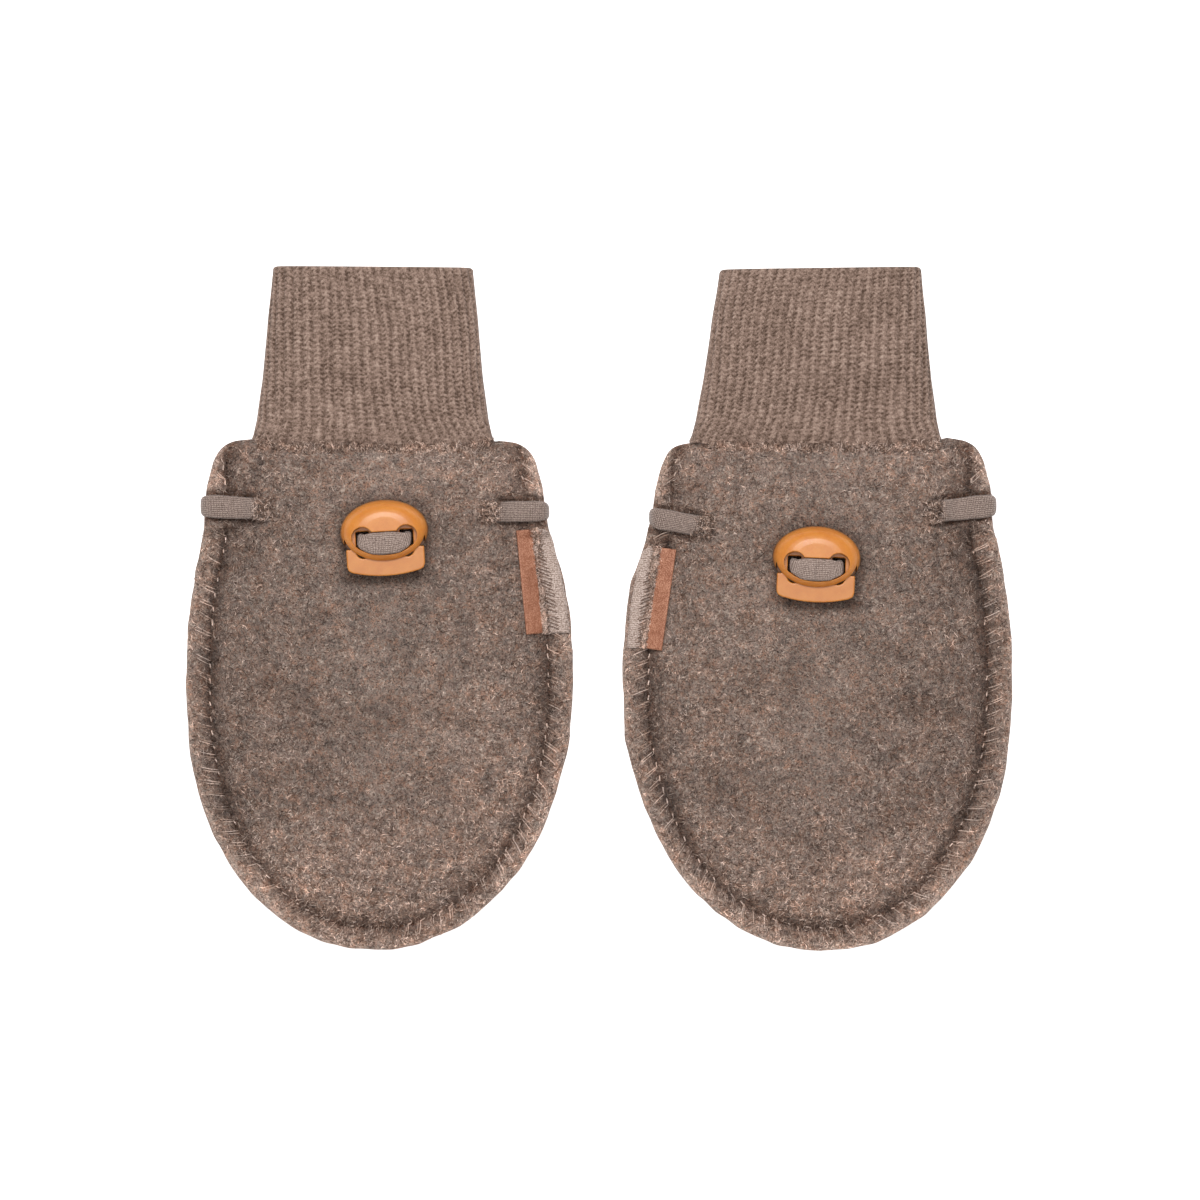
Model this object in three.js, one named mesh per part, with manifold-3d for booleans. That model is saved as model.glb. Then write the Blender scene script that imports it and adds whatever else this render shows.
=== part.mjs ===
// A pair of baby mittens lying flat, cuffs pointing along +Y, undersides on z = 0.
// Millimetres, +Z up. The origin is on the surface, midway between the mittens
// and midway between the cuff openings and the tips.

import * as THREE from 'three';
import { mergeVertices } from 'three/addons/utils/BufferGeometryUtils.js';
import Module from 'manifold-3d';

const wasm = await Module();
wasm.setup();

// Driving dimensions of the pair
const LENGTH = 140;
const CUFF_LENGTH = 35.6;
const MITTEN_OFFSET = 44.85;
const BODY_HALF_WIDTH = 39.4;
const TOP_LEAN = 0.9;
const SEAM_GAP = 0.3;

// Felted wool of the body
const WOOL = 2.0;
const PINCHED_WOOL = 1.5;
const CROWN_RISE = 4.9;
const CROWN_RUN = 13;
const ALLOWANCE = 4.6;
const GROOVE_DEPTH = 0.5;

// Rib cuff
const CUFF_WALL = 1.7;
const CUFF_HEIGHT = 8.4;
const RIB_COUNT = 25;
const RIB_HEIGHT = 0.6;

// Drawstring: a flat strap
const STRAP_WIDTH = 4.4;
const STRAP_IN_BOWL = 3.8;
const STRAP_NARROW = 3.0;
const STRAP_THICKNESS = 1.6;
const STRAP_BEVEL = 0.45;
const STRAP_STEPS = 66;
const STRAP_ROOM = 0.3;
const STRAP_CLEAR = 0.45;
const OUTER_REACH = 1.4;
const INNER_REACH = 0.6;

// Cord lock
const LOCK_WIDTH = 18;
const LOCK_DEPTH = 12.9;
const LOCK_HEIGHT = 7;
const LOCK_HOLE_OFFSET = 4.5;
const LOCK_HOLE_RADIUS = 2.2;
const BUTTON_WIDTH = 15.9;
const BUTTON_TRAVEL = 2.4;
const BUTTON_BEVEL = 0.4;
// Heights above the base of the lock
const SLOT_FLOOR = 1.2;
const SLOT_TOP = 4.6;
const BOWL_FLOOR = 5.2;
// Places along the lock, from its middle towards the cuff
const HOLE_UP = -1.15;
const SADDLE_UP = -0.1;
const STRAP_UP_IN_HOLE = -1.45;
const STRAP_UP_IN_BOWL = -2.45;
const BOWL_HALF = 6.65;
const BOWL_DROP = 3.7;

// Side label and its tape
const LABEL_WIDTH = 3.6;
const LABEL_THICKNESS = 1.0;
const LABEL_GAP = 0.45;
const TAPE_INSET = 0.1;

// Worked out from the sizes above
const TOP_Y = LENGTH / 2;
const TIP_Y = -LENGTH / 2;
const NECK_Y = TOP_Y - CUFF_LENGTH - SEAM_GAP;
const FRONT_UNDERSIDE = WOOL + SEAM_GAP;
const PLATEAU_TOP = FRONT_UNDERSIDE + CROWN_RISE + WOOL;
const LOCK_BASE = PLATEAU_TOP + SEAM_GAP;
const HALF_STRAP = STRAP_THICKNESS / 2;
const STRAP_REST = 0.15;
const TROUGH_LIFT = STRAP_REST + STRAP_THICKNESS + STRAP_CLEAR;
const UNDER_FRONT = FRONT_UNDERSIDE + CROWN_RISE - STRAP_CLEAR - HALF_STRAP;
const OVER_BACK = WOOL + STRAP_CLEAR + HALF_STRAP;

// Half the width of the body at heights above its widest line, at WIDEST_Y
const WIDEST_Y = -16.6;
const BODY_SIDE = [
  { y: -16.6, half: BODY_HALF_WIDTH },
  { y: -8, half: 39.2 },
  { y: 1.8, half: 38.4 },
  { y: 12.1, half: 36.3 },
  { y: 18.2, half: 35.0 },
  { y: 24.3, half: 34.3 },
  { y: 28.0, half: 33.6 },
];
// The rounded shoulder, from the side up to the corner of the neck
const SHOULDER = [
  { y: 30.7, half: 32.7 },
  { y: 32.7, half: 31.2 },
  { y: 33.8, half: 28.6 },
  { y: NECK_Y, half: 25.2 },
];
// The tip is a quarter of a slightly squared ellipse
const TIP_POWER = 2.08;
const TIP_STEPS = 8;
// How far down the middle line the fan of points at the tip reaches
const FAN_DEPTH = 1 - (BODY_HALF_WIDTH / (WIDEST_Y - TIP_Y)) ** 2;

// Half the width of the seam allowance that shows, by height
const ALLOWANCE_ROWS = [
  { y: 17, width: ALLOWANCE },
  { y: 25, width: 2.6 },
  { y: 31, width: 1.5 },
];

// Half the width of the cuff
const CUFF_ROWS = [
  { y: NECK_Y + SEAM_GAP, half: 25.2 },
  { y: 38.6, half: 24.2 },
  { y: 46.8, half: 23.1 },
  { y: 56, half: 22.1 },
  { y: 66, half: 21.2 },
];
const CUFF_FOLD_HALF = 20.9;

// Each mitten, measured outwards from its own middle and up from the origin.
// The inner side faces the other mitten.
const MITTENS = [
  {
    name: 'left',
    side: -1,
    lock: { across: -1.2, up: 15.85, tilt: 3.4 },
    outer: { hole: 20.6, edge: 20.7 },
    inner: { hole: 19.7, edge: 19.9 },
    label: { topAcross: -29.8, topUp: 16.2, footAcross: -31.9, footUp: -5.1 },
  },
  {
    name: 'right',
    side: 1,
    lock: { across: -0.4, up: 10.45, tilt: 2.5 },
    outer: { hole: 19.8, edge: 21.1 },
    inner: { hole: 16.6, edge: 18.8 },
    label: { topAcross: -30.7, topUp: 12.4, footAcross: -33.7, footUp: -8.3 },
  },
];

const MATERIALS = {
  wool: new THREE.MeshStandardMaterial({ color: 0x82716a, roughness: 0.95, metalness: 0 }),
  rib: new THREE.MeshStandardMaterial({ color: 0x8f7a6e, roughness: 0.9, metalness: 0 }),
  cord: new THREE.MeshStandardMaterial({ color: 0x918078, roughness: 0.85, metalness: 0 }),
  plastic: new THREE.MeshStandardMaterial({ color: 0xe8a05c, roughness: 0.4, metalness: 0 }),
  leather: new THREE.MeshStandardMaterial({ color: 0xa56950, roughness: 0.7, metalness: 0 }),
  tape: new THREE.MeshStandardMaterial({ color: 0xa59182, roughness: 0.9, metalness: 0 }),
};

function clamp(value, low, high) {
  return Math.min(high, Math.max(low, value));
}

// 0 at a, 1 at b, with level ends
function ease(value, a, b) {
  const t = clamp((value - a) / (b - a), 0, 1);
  return t * t * (3 - 2 * t);
}

// Straight lines between the rows of a table with a y column
function between(rows, key, y) {
  if (y <= rows[0].y) return rows[0][key];
  for (let i = 1; i < rows.length; i += 1) {
    if (y <= rows[i].y) {
      const t = (y - rows[i - 1].y) / (rows[i].y - rows[i - 1].y);
      return rows[i - 1][key] + t * (rows[i][key] - rows[i - 1][key]);
    }
  }
  return rows[rows.length - 1][key];
}

// The body leans outwards a little at the neck and at the tip
function lean(y) {
  return TOP_LEAN * clamp(((y - WIDEST_Y) / (NECK_Y - WIDEST_Y)) ** 2, 0, 1);
}

// A closed geometry from a list of closed rings of equal length.
// The ends are capped, or the last ring meets the first.
function ringSolid(rings, endless) {
  const size = rings[0].length;
  const vertices = rings.flat();
  const faces = [];
  const spans = endless ? rings.length : rings.length - 1;
  for (let r = 0; r < spans; r += 1) {
    const next = (r + 1) % rings.length;
    for (let k = 0; k < size; k += 1) {
      const m = (k + 1) % size;
      const a = r * size + k;
      const b = r * size + m;
      const c = next * size + m;
      const d = next * size + k;
      faces.push(a, b, c, a, c, d);
    }
  }
  if (!endless) {
    const last = (rings.length - 1) * size;
    for (let k = 1; k < size - 1; k += 1) {
      faces.push(0, k + 1, k);
      faces.push(last, last + k, last + k + 1);
    }
  }
  return geometryOf(vertices, faces);
}

// A closed geometry between an upper and a lower grid of points of equal size
function sheetSolid(upper, lower) {
  const rows = upper.length;
  const columns = upper[0].length;
  const count = rows * columns;
  const vertices = [...upper.flat(), ...lower.flat()];
  const at = (i, j) => i * columns + j;
  const faces = [];
  const quad = (a, b, c, d) => faces.push(a, b, c, a, c, d);
  for (let i = 0; i < rows - 1; i += 1) {
    for (let j = 0; j < columns - 1; j += 1) {
      quad(at(i, j), at(i, j + 1), at(i + 1, j + 1), at(i + 1, j));
      quad(at(i, j) + count, at(i + 1, j) + count, at(i + 1, j + 1) + count, at(i, j + 1) + count);
    }
    quad(at(i, 0), at(i + 1, 0), at(i + 1, 0) + count, at(i, 0) + count);
  }
  for (let j = 0; j < columns - 1; j += 1) {
    quad(at(0, j + 1), at(0, j), at(0, j) + count, at(0, j + 1) + count);
    const end = rows - 1;
    quad(at(end, j), at(end, j + 1), at(end, j + 1) + count, at(end, j) + count);
  }
  return tidy(geometryOf(vertices, faces));
}

function geometryOf(vertices, faces) {
  const geometry = new THREE.BufferGeometry();
  const numbers = new Float32Array(vertices.flatMap((p) => [p.x, p.y, p.z]));
  geometry.setAttribute('position', new THREE.BufferAttribute(numbers, 3));
  geometry.setIndex(faces);
  return mergeVertices(geometry, 1e-4);
}

// Faces whose corners have merged into a line are dropped
function tidy(geometry) {
  const index = Array.from(geometry.index.array);
  const kept = [];
  for (let f = 0; f < index.length; f += 3) {
    const [a, b, c] = index.slice(f, f + 3);
    if (a !== b && b !== c && c !== a) kept.push(a, b, c);
  }
  geometry.setIndex(kept);
  return geometry;
}

function toManifold(source) {
  const bare = source.clone();
  bare.deleteAttribute('normal');
  bare.deleteAttribute('uv');
  const merged = mergeVertices(bare, 1e-4);
  return new wasm.Manifold(new wasm.Mesh({
    numProp: 3,
    vertProperties: new Float32Array(merged.attributes.position.array),
    triVerts: new Uint32Array(merged.index.array),
  }));
}

function fromManifold(manifold) {
  const mesh = manifold.getMesh();
  const geometry = new THREE.BufferGeometry();
  geometry.setAttribute('position', new THREE.BufferAttribute(new Float32Array(mesh.vertProperties), 3));
  geometry.setIndex(Array.from(mesh.triVerts));
  return geometry;
}

function cut(source, ...tools) {
  return fromManifold(tools.reduce((left, tool) => left.subtract(toManifold(tool)), toManifold(source)));
}

// The outline of the body, from the outer corner of the neck round the tip to
// the inner corner. Rows of the two sides are paired, so that each pair has a
// point on the middle line.
function outline(mitten) {
  const troughRows = [5.8, 2.8, 0, -2.8, -5.8];
  const plainRows = [9, 0, -8.5];
  const sideOf = (strapUp) => {
    const points = [...SHOULDER].reverse();
    for (const offset of troughRows) {
      const y = strapUp + offset;
      points.push({ y, half: bodyHalf(y) });
    }
    for (const y of plainRows) points.push({ y, half: bodyHalf(y) });
    for (let k = 0; k < TIP_STEPS; k += 1) {
      const angle = (k / TIP_STEPS) * (Math.PI / 2);
      const y = WIDEST_Y + (TIP_Y - WIDEST_Y) * Math.sin(angle) ** (2 / TIP_POWER);
      points.push({ y, half: BODY_HALF_WIDTH * Math.cos(angle) ** (2 / TIP_POWER) });
    }
    return points;
  };
  const outer = sideOf(mitten.outer.edge);
  const inner = sideOf(mitten.inner.edge);
  const points = [
    ...outer.map((p) => new THREE.Vector2(lean(p.y) + p.half, p.y)),
    new THREE.Vector2(lean(TIP_Y), TIP_Y),
    ...inner.map((p) => new THREE.Vector2(lean(p.y) - p.half, p.y)).reverse(),
  ];
  const middles = points.map((p, i) => {
    const y = (p.y + points[points.length - 1 - i].y) / 2;
    const pulled = y > WIDEST_Y ? y : WIDEST_Y + (y - WIDEST_Y) * FAN_DEPTH;
    return new THREE.Vector2(lean(y), pulled);
  });
  return { points, middles };
}

function bodyHalf(y) {
  const curve = new THREE.SplineCurve(BODY_SIDE.map((row) => new THREE.Vector2(row.half, row.y)));
  const samples = curve.getPoints(60).map((p) => ({ y: p.y, half: p.x }));
  return between(samples, 'half', y);
}

// Distance from a point to a line of points
function distanceTo(line, x, y) {
  let best = Infinity;
  for (let i = 1; i < line.length; i += 1) {
    const a = line[i - 1];
    const b = line[i];
    const dx = b.x - a.x;
    const dy = b.y - a.y;
    const t = clamp(((x - a.x) * dx + (y - a.y) * dy) / (dx * dx + dy * dy), 0, 1);
    best = Math.min(best, Math.hypot(x - a.x - t * dx, y - a.y - t * dy));
  }
  return best;
}

// Heights of the cloth of one mitten, as functions of the place in plan
function cloth(mitten, points) {
  const corner = SHOULDER.length - 2;
  const sides = points.slice(corner, points.length - corner);
  const outerTop = points.slice(0, corner + 1);
  const innerTop = points.slice(points.length - corner - 1);

  // 1 in the pinch where the strap goes round an edge, 0 away from it
  const pinch = (x, y) => {
    const strap = x > 0 ? mitten.outer : mitten.inner;
    const edge = bodyHalf(y) - Math.abs(x - lean(y));
    const t = clamp(edge / 12, 0, 1);
    const middle = strap.edge + t * (strap.hole - strap.edge);
    return (1 - ease(Math.abs(y - middle), 2.7, 5.8)) * (1 - ease(edge, 9, 12.5));
  };
  const inset = (x, y) => distanceTo(sides, x, y);
  const allowance = (y) => between(ALLOWANCE_ROWS, 'width', y);
  const wool = (x, y) => WOOL - (WOOL - PINCHED_WOOL) * pinch(x, y);
  const backUnderside = (x, y) => TROUGH_LIFT * pinch(x, y);
  const backTop = (x, y) => backUnderside(x, y) + wool(x, y);
  const crown = (x, y) => {
    const start = allowance(y) + 0.3;
    const side = clamp((inset(x, y) - start) / CROWN_RUN, 0, 1);
    const top = Math.min(distanceTo(outerTop, x, y), distanceTo(innerTop, x, y));
    const shoulder = clamp(top / 5, 0, 1);
    const rise = Math.min(Math.sin(side * Math.PI / 2), Math.sin(shoulder * Math.PI / 2));
    return CROWN_RISE * rise;
  };
  const frontUnderside = (x, y) => {
    const pinched = backTop(x, y) + SEAM_GAP * (1 + pinch(x, y));
    return Math.max(FRONT_UNDERSIDE + crown(x, y), pinched);
  };
  const groove = (x, y) => {
    const offset = Math.abs(inset(x, y) - allowance(y));
    return GROOVE_DEPTH * (1 - ease(offset, 0, 0.8)) * (1 - pinch(x, y));
  };
  const neckFall = (y) => 1 - Math.sqrt(1 - clamp((y - NECK_Y + 1.4) / 1.5, 0, 1) ** 2);
  const frontTop = (x, y) => {
    return frontUnderside(x, y) + wool(x, y) - groove(x, y) - neckFall(y);
  };
  return { allowance, backUnderside, backTop, frontUnderside, frontTop };
}

// One body panel: rows run from the outline to the middle line
function panel({ points, middles }, insets, top, underside) {
  const grid = (height) => points.map((edge, i) => {
    const middle = middles[i];
    const reach = Math.max(edge.distanceTo(middle), 1e-6);
    return insets(edge.y).map((inset) => {
      const t = Math.min(inset / reach, 1);
      const p = edge.clone().lerp(middle, t);
      return new THREE.Vector3(p.x, p.y, height(p.x, p.y));
    });
  });
  return sheetSolid(grid(top), grid(underside));
}

// The strap's closed route, from the saddle of the lock outwards, round the
// outer edge, across the inside of the back and round the inner edge
function strapRoute(mitten, fabric) {
  const { lock, outer, inner } = mitten;
  const tilt = THREE.MathUtils.degToRad(lock.tilt);
  const onLock = (a, b) => new THREE.Vector2(
    lock.across + a * Math.cos(tilt) + b * Math.sin(tilt),
    lock.up - a * Math.sin(tilt) + b * Math.cos(tilt),
  );
  const saddle = LOCK_BASE + BOWL_FLOOR + SEAM_GAP + HALF_STRAP;
  const half = (direction) => {
    const strap = direction > 0 ? outer : inner;
    const edge = direction * bodyHalf(strap.edge) + lean(strap.edge);
    const reach = direction > 0 ? OUTER_REACH : INNER_REACH;
    const hole = onLock(direction * LOCK_HOLE_OFFSET, STRAP_UP_IN_HOLE);
    const stations = [];
    const add = (x, y, z, width) => stations.push({ x, y, z, width });
    const over = onLock(direction * 2.5, STRAP_UP_IN_BOWL);
    add(over.x, over.y + 0.2, saddle, STRAP_IN_BOWL - 0.3);
    add(hole.x - direction * 0.4, hole.y + 0.15, saddle - 0.75, STRAP_NARROW - 0.3);
    add(hole.x, hole.y, LOCK_BASE + 4.2, STRAP_NARROW);
    add(hole.x, hole.y, LOCK_BASE + 1.4, STRAP_NARROW);
    add(hole.x + direction * 0.1, hole.y, LOCK_BASE - 1.2, STRAP_NARROW);
    add(hole.x + direction * 1.6, hole.y + 0.2, UNDER_FRONT - 0.1, STRAP_NARROW + 0.3);
    add(hole.x + direction * 4.2, hole.y + 0.6, UNDER_FRONT, STRAP_WIDTH);
    const far = edge - direction * 15.5;
    add((hole.x + far) / 2 + direction * 2, (hole.y + strap.hole) / 2, UNDER_FRONT, STRAP_WIDTH);
    add(far, strap.hole, UNDER_FRONT - 0.15, STRAP_WIDTH);
    add(edge - direction * 12.6, strap.hole, UNDER_FRONT + 0.9, STRAP_WIDTH);
    for (const back of [10, 7.6, 4.6, 2.2]) {
      const x = edge - direction * back;
      const y = strap.hole + (strap.edge - strap.hole) * (1 - back / 12);
      const z = fabric.frontTop(x, y) + STRAP_CLEAR + HALF_STRAP;
      add(x, y, z, STRAP_WIDTH);
    }
    const turn = edge + direction * (reach - HALF_STRAP);
    const upper = fabric.frontTop(edge - direction * 0.5, strap.edge) + SEAM_GAP + HALF_STRAP;
    const lower = STRAP_REST + HALF_STRAP;
    add(turn - direction * 0.45, strap.edge, upper - 0.75, STRAP_WIDTH);
    add(turn, strap.edge, (upper + lower) / 2, STRAP_WIDTH);
    add(turn - direction * 0.45, strap.edge, lower + 0.75, STRAP_WIDTH);
    for (const back of [2.2, 6, 9.4]) {
      const y = strap.hole + (strap.edge - strap.hole) * (1 - back / 12);
      add(edge - direction * back, y, lower, STRAP_WIDTH);
    }
    add(edge - direction * 12.2, strap.hole, lower + 0.95, STRAP_WIDTH);
    add(edge - direction * 15.5, strap.hole, OVER_BACK, STRAP_WIDTH);
    add(edge - direction * 20, (strap.hole + lock.up) / 2, OVER_BACK, STRAP_WIDTH);
    return stations;
  };
  const middle = onLock(0, STRAP_UP_IN_BOWL);
  const start = { x: middle.x, y: middle.y, z: saddle + 0.1, width: STRAP_IN_BOWL };
  const acrossBack = [10, 0, -10].map((x) => {
    return { x: x + lean(lock.up), y: (outer.hole + inner.hole) / 2, z: OVER_BACK, width: STRAP_WIDTH };
  });
  return [start, ...half(1), ...acrossBack, ...half(-1).reverse()];
}

// A flat strap along a closed route, its width lying along Y
function strapSolid(stations, grow) {
  const curve = new THREE.CatmullRomCurve3(
    stations.map((s) => new THREE.Vector3(s.x, s.y, s.z)),
    true,
    'centripetal',
  );
  const rings = [];
  for (let k = 0; k < STRAP_STEPS; k += 1) {
    const t = k / STRAP_STEPS;
    const point = curve.getPoint(t);
    const along = curve.getTangent(t);
    const across = new THREE.Vector3(0, 1, 0).addScaledVector(along, -along.y).normalize();
    const out = new THREE.Vector3().crossVectors(along, across);
    const place = t * stations.length;
    const here = stations[Math.floor(place)];
    const next = stations[Math.ceil(place) % stations.length];
    const width = THREE.MathUtils.lerp(here.width, next.width, place % 1);
    const wide = width / 2 + grow;
    const thick = HALF_STRAP + grow;
    const inWide = wide - STRAP_BEVEL;
    const inThick = thick - STRAP_BEVEL;
    const corners = [
      [wide, inThick], [inWide, thick], [-inWide, thick], [-wide, inThick],
      [-wide, -inThick], [-inWide, -thick], [inWide, -thick], [wide, -inThick],
    ];
    rings.push(corners.map(([w, h]) => point.clone().addScaledVector(across, w).addScaledVector(out, h)));
  }
  return ringSolid(rings, true);
}

// A slice of the cuff: crowned over the top, flat underneath, from the inner
// side over the top to the outer side and back below
function cuffRing(y, half, height, base, ribs) {
  const middle = base + height / 2;
  const ring = [];
  const topSteps = RIB_COUNT * 2;
  for (let k = 0; k <= topSteps; k += 1) {
    const u = -1 + (2 * k) / topSteps;
    const rise = Math.sqrt(Math.max(0, 1 - Math.abs(u) ** 5));
    const raised = k % 2 === 0 ? 0 : ribs;
    const fade = 1 - ease(Math.abs(u), 0.93, 0.99);
    const z = middle + (height / 2) * rise + raised * fade;
    ring.push(new THREE.Vector3(lean(NECK_Y) + u * half, y, z));
  }
  const radius = height / 2;
  const under = [
    [1, 0.55], [0.85, 0.13], [0.5, 0], [-0.5, 0], [-0.85, 0.13], [-1, 0.55],
  ];
  for (const [u, lift] of under) {
    const flat = half - radius;
    const x = Math.abs(u) === 0.5 ? Math.sign(u) * flat : Math.sign(u) * (flat + radius * edgeOf(lift));
    ring.push(new THREE.Vector3(lean(NECK_Y) + x, y, base + radius * lift));
  }
  return ring;
}

// How far out a round edge of radius 1 reaches at a height above its foot
function edgeOf(height) {
  return Math.sqrt(1 - (1 - height) ** 2);
}

// The cuff is a tube folded double at the opening, so its wall is closed there
function cuffSolid() {
  const hollow = CUFF_HEIGHT - 2 * CUFF_WALL;
  const outer = CUFF_ROWS.map((row) => cuffRing(row.y, row.half, CUFF_HEIGHT, 0, RIB_HEIGHT));
  const fold = [
    cuffRing(TOP_Y - 0.9, CUFF_FOLD_HALF, CUFF_HEIGHT, 0, RIB_HEIGHT),
    cuffRing(TOP_Y - 0.15, CUFF_FOLD_HALF - 0.35, CUFF_HEIGHT - 0.7, 0.35, RIB_HEIGHT / 2),
    cuffRing(TOP_Y, CUFF_FOLD_HALF - CUFF_WALL / 2, CUFF_HEIGHT - CUFF_WALL, CUFF_WALL / 2, 0),
    cuffRing(TOP_Y - 0.9, CUFF_FOLD_HALF - CUFF_WALL, hollow, CUFF_WALL, 0),
  ];
  const innerRows = [CUFF_ROWS[2], CUFF_ROWS[0]];
  const inner = innerRows.map((row) => cuffRing(row.y, row.half - CUFF_WALL, hollow, CUFF_WALL, 0));
  return ringSolid([...outer, ...fold, ...inner], true);
}

// Lock body: an oval dome with a slot for the button, two holes for the strap
// and a shallow bowl that the strap crosses
function lockBodySolid() {
  const radius = LOCK_WIDTH / 2;
  const profile = [
    [0, 0], [0.9, 0], [0.985, 0.7], [1, 1.6], [1, 3.6], [0.985, 4.8],
    [0.93, 5.8], [0.82, 6.4], [0.6, 6.8], [0, LOCK_HEIGHT],
  ].map(([r, z]) => new THREE.Vector2(r * radius, z));
  const dome = new THREE.LatheGeometry(profile, 28);
  dome.rotateX(Math.PI / 2);
  dome.scale(1, LOCK_DEPTH / LOCK_WIDTH, 1);
  const slotHeight = SLOT_TOP - SLOT_FLOOR;
  const slot = new THREE.ExtrudeGeometry(tongueShape(SEAM_GAP, BUTTON_TRAVEL + SEAM_GAP, 3), {
    depth: slotHeight,
    bevelEnabled: false,
  });
  slot.translate(0, 0, SLOT_FLOOR);
  const holes = [-1, 1].map((direction) => {
    const hole = new THREE.CylinderGeometry(LOCK_HOLE_RADIUS, LOCK_HOLE_RADIUS, 12, 16);
    hole.rotateX(Math.PI / 2);
    hole.translate(direction * LOCK_HOLE_OFFSET, HOLE_UP, 5);
    return hole;
  });
  const bowlShape = new THREE.Shape();
  bowlShape.moveTo(-BOWL_HALF, HOLE_UP);
  bowlShape.absellipse(0, HOLE_UP, BOWL_HALF, BOWL_DROP, Math.PI, 2 * Math.PI, false);
  bowlShape.lineTo(LOCK_HOLE_OFFSET, HOLE_UP);
  bowlShape.lineTo(LOCK_HOLE_OFFSET, SADDLE_UP);
  bowlShape.lineTo(-LOCK_HOLE_OFFSET, SADDLE_UP);
  bowlShape.lineTo(-LOCK_HOLE_OFFSET, HOLE_UP);
  const bowl = new THREE.ExtrudeGeometry(bowlShape, { depth: 6, bevelEnabled: false, curveSegments: 14 });
  bowl.translate(0, 0, BOWL_FLOOR);
  return cut(dome, slot, ...holes, bowl);
}

// Outline of the button: a narrow tongue inside the body and a wide end outside.
// Its sides, upper edges and foot can each be moved outwards.
function tongueShape(side, upper, foot) {
  const narrow = 6.9 + side;
  const wide = BUTTON_WIDTH / 2 + side;
  const tip = 4.4 + side;
  const shoulder = -3.4 + upper;
  const corner = -8.1 - foot;
  const shape = new THREE.Shape();
  shape.moveTo(-wide, shoulder);
  shape.lineTo(-wide, corner + 1);
  shape.quadraticCurveTo(-wide, corner + 0.2, 1 - wide, corner);
  shape.quadraticCurveTo(0, corner - 2, wide - 1, corner);
  shape.quadraticCurveTo(wide, corner + 0.2, wide, corner + 1);
  shape.lineTo(wide, shoulder);
  shape.lineTo(narrow, shoulder);
  shape.lineTo(narrow, upper);
  shape.lineTo(tip, 1.6 + upper);
  shape.lineTo(-tip, 1.6 + upper);
  shape.lineTo(-narrow, upper);
  shape.lineTo(-narrow, shoulder);
  return shape;
}

// Button: its two holes are longer than the strap by the travel
function buttonSolid() {
  const bevel = BUTTON_BEVEL;
  const thickness = SLOT_TOP - SLOT_FLOOR - 2 * SEAM_GAP;
  const outlineShape = tongueShape(-bevel, -bevel, -bevel);
  const slab = new THREE.ExtrudeGeometry(outlineShape, {
    depth: thickness - 2 * bevel,
    bevelEnabled: true,
    bevelThickness: bevel,
    bevelSize: bevel,
    bevelSegments: 2,
    curveSegments: 6,
  });
  slab.translate(0, 0, SLOT_FLOOR + SEAM_GAP + bevel);
  const margin = STRAP_NARROW / 2 + 0.35;
  const top = STRAP_UP_IN_HOLE + margin;
  const foot = STRAP_UP_IN_HOLE - margin - BUTTON_TRAVEL;
  const holes = [-1, 1].map((direction) => {
    const hole = new THREE.BoxGeometry(2.8, top - foot, 12);
    hole.translate(direction * LOCK_HOLE_OFFSET, (top + foot) / 2, 5);
    return hole;
  });
  return cut(slab, ...holes);
}

// A strip that lies on the front panel, between two lines of points
function stripSolid(from, to, fabric) {
  const upper = [];
  const lower = [];
  from.forEach((a, i) => {
    const b = to[i];
    const za = fabric.frontTop(a.x, a.y);
    const zb = fabric.frontTop(b.x, b.y);
    const row = [0, 0.5, 1].map((t) => {
      const p = a.clone().lerp(b, t);
      const z = Math.max(za + t * (zb - za), fabric.frontTop(p.x, p.y)) + SEAM_GAP;
      return new THREE.Vector3(p.x, p.y, z);
    });
    lower.push(row);
    upper.push(row.map((p) => p.clone().setZ(p.z + LABEL_THICKNESS)));
  });
  return { upper, lower };
}

// A closed solid between two grids that are open on all four sides
function slabSolid({ upper, lower }) {
  const rings = upper.map((row, i) => [...row, ...[...lower[i]].reverse()]);
  return ringSolid(rings.reverse(), false);
}

function labelSolids(mitten, fabric) {
  const { label } = mitten;
  const top = new THREE.Vector2(label.topAcross, label.topUp);
  const foot = new THREE.Vector2(label.footAcross, label.footUp);
  const along = foot.clone().sub(top).normalize();
  const across = new THREE.Vector2(-along.y, along.x).multiplyScalar(-LABEL_WIDTH / 2);
  const rows = [0, 1, 2, 3, 4, 5, 6].map((k) => top.clone().lerp(foot, k / 6));
  const outerEdge = rows.map((p) => p.clone().add(across));
  const innerEdge = rows.map((p) => p.clone().sub(across));
  const tapeInner = outerEdge.map((p) => new THREE.Vector2(p.x - LABEL_GAP, p.y));
  const tapeOuter = tapeInner.map((p) => {
    return new THREE.Vector2(lean(p.y) - bodyHalf(p.y) + TAPE_INSET, p.y);
  });
  return {
    label: slabSolid(stripSolid(outerEdge, innerEdge, fabric)),
    tape: slabSolid(stripSolid(tapeOuter, tapeInner, fabric)),
  };
}

function mirrored(geometry) {
  const flipped = geometry.clone();
  flipped.scale(-1, 1, 1);
  const index = flipped.index.array;
  for (let f = 0; f < index.length; f += 3) {
    [index[f + 1], index[f + 2]] = [index[f + 2], index[f + 1]];
  }
  return flipped;
}

// An inset that reaches the middle line from anywhere
const WHOLE_WAY = 1000;

// Insets of the points across a front panel and a back panel, for a row at y
function frontInsets(fabric) {
  return (y) => {
    const a = fabric.allowance(y);
    return [0, a, a + 0.8, a + 3, a + 6.5, a + 12, WHOLE_WAY];
  };
}

function backInsets() {
  return [0, 4.6, 9, 12.5, WHOLE_WAY];
}

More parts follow.
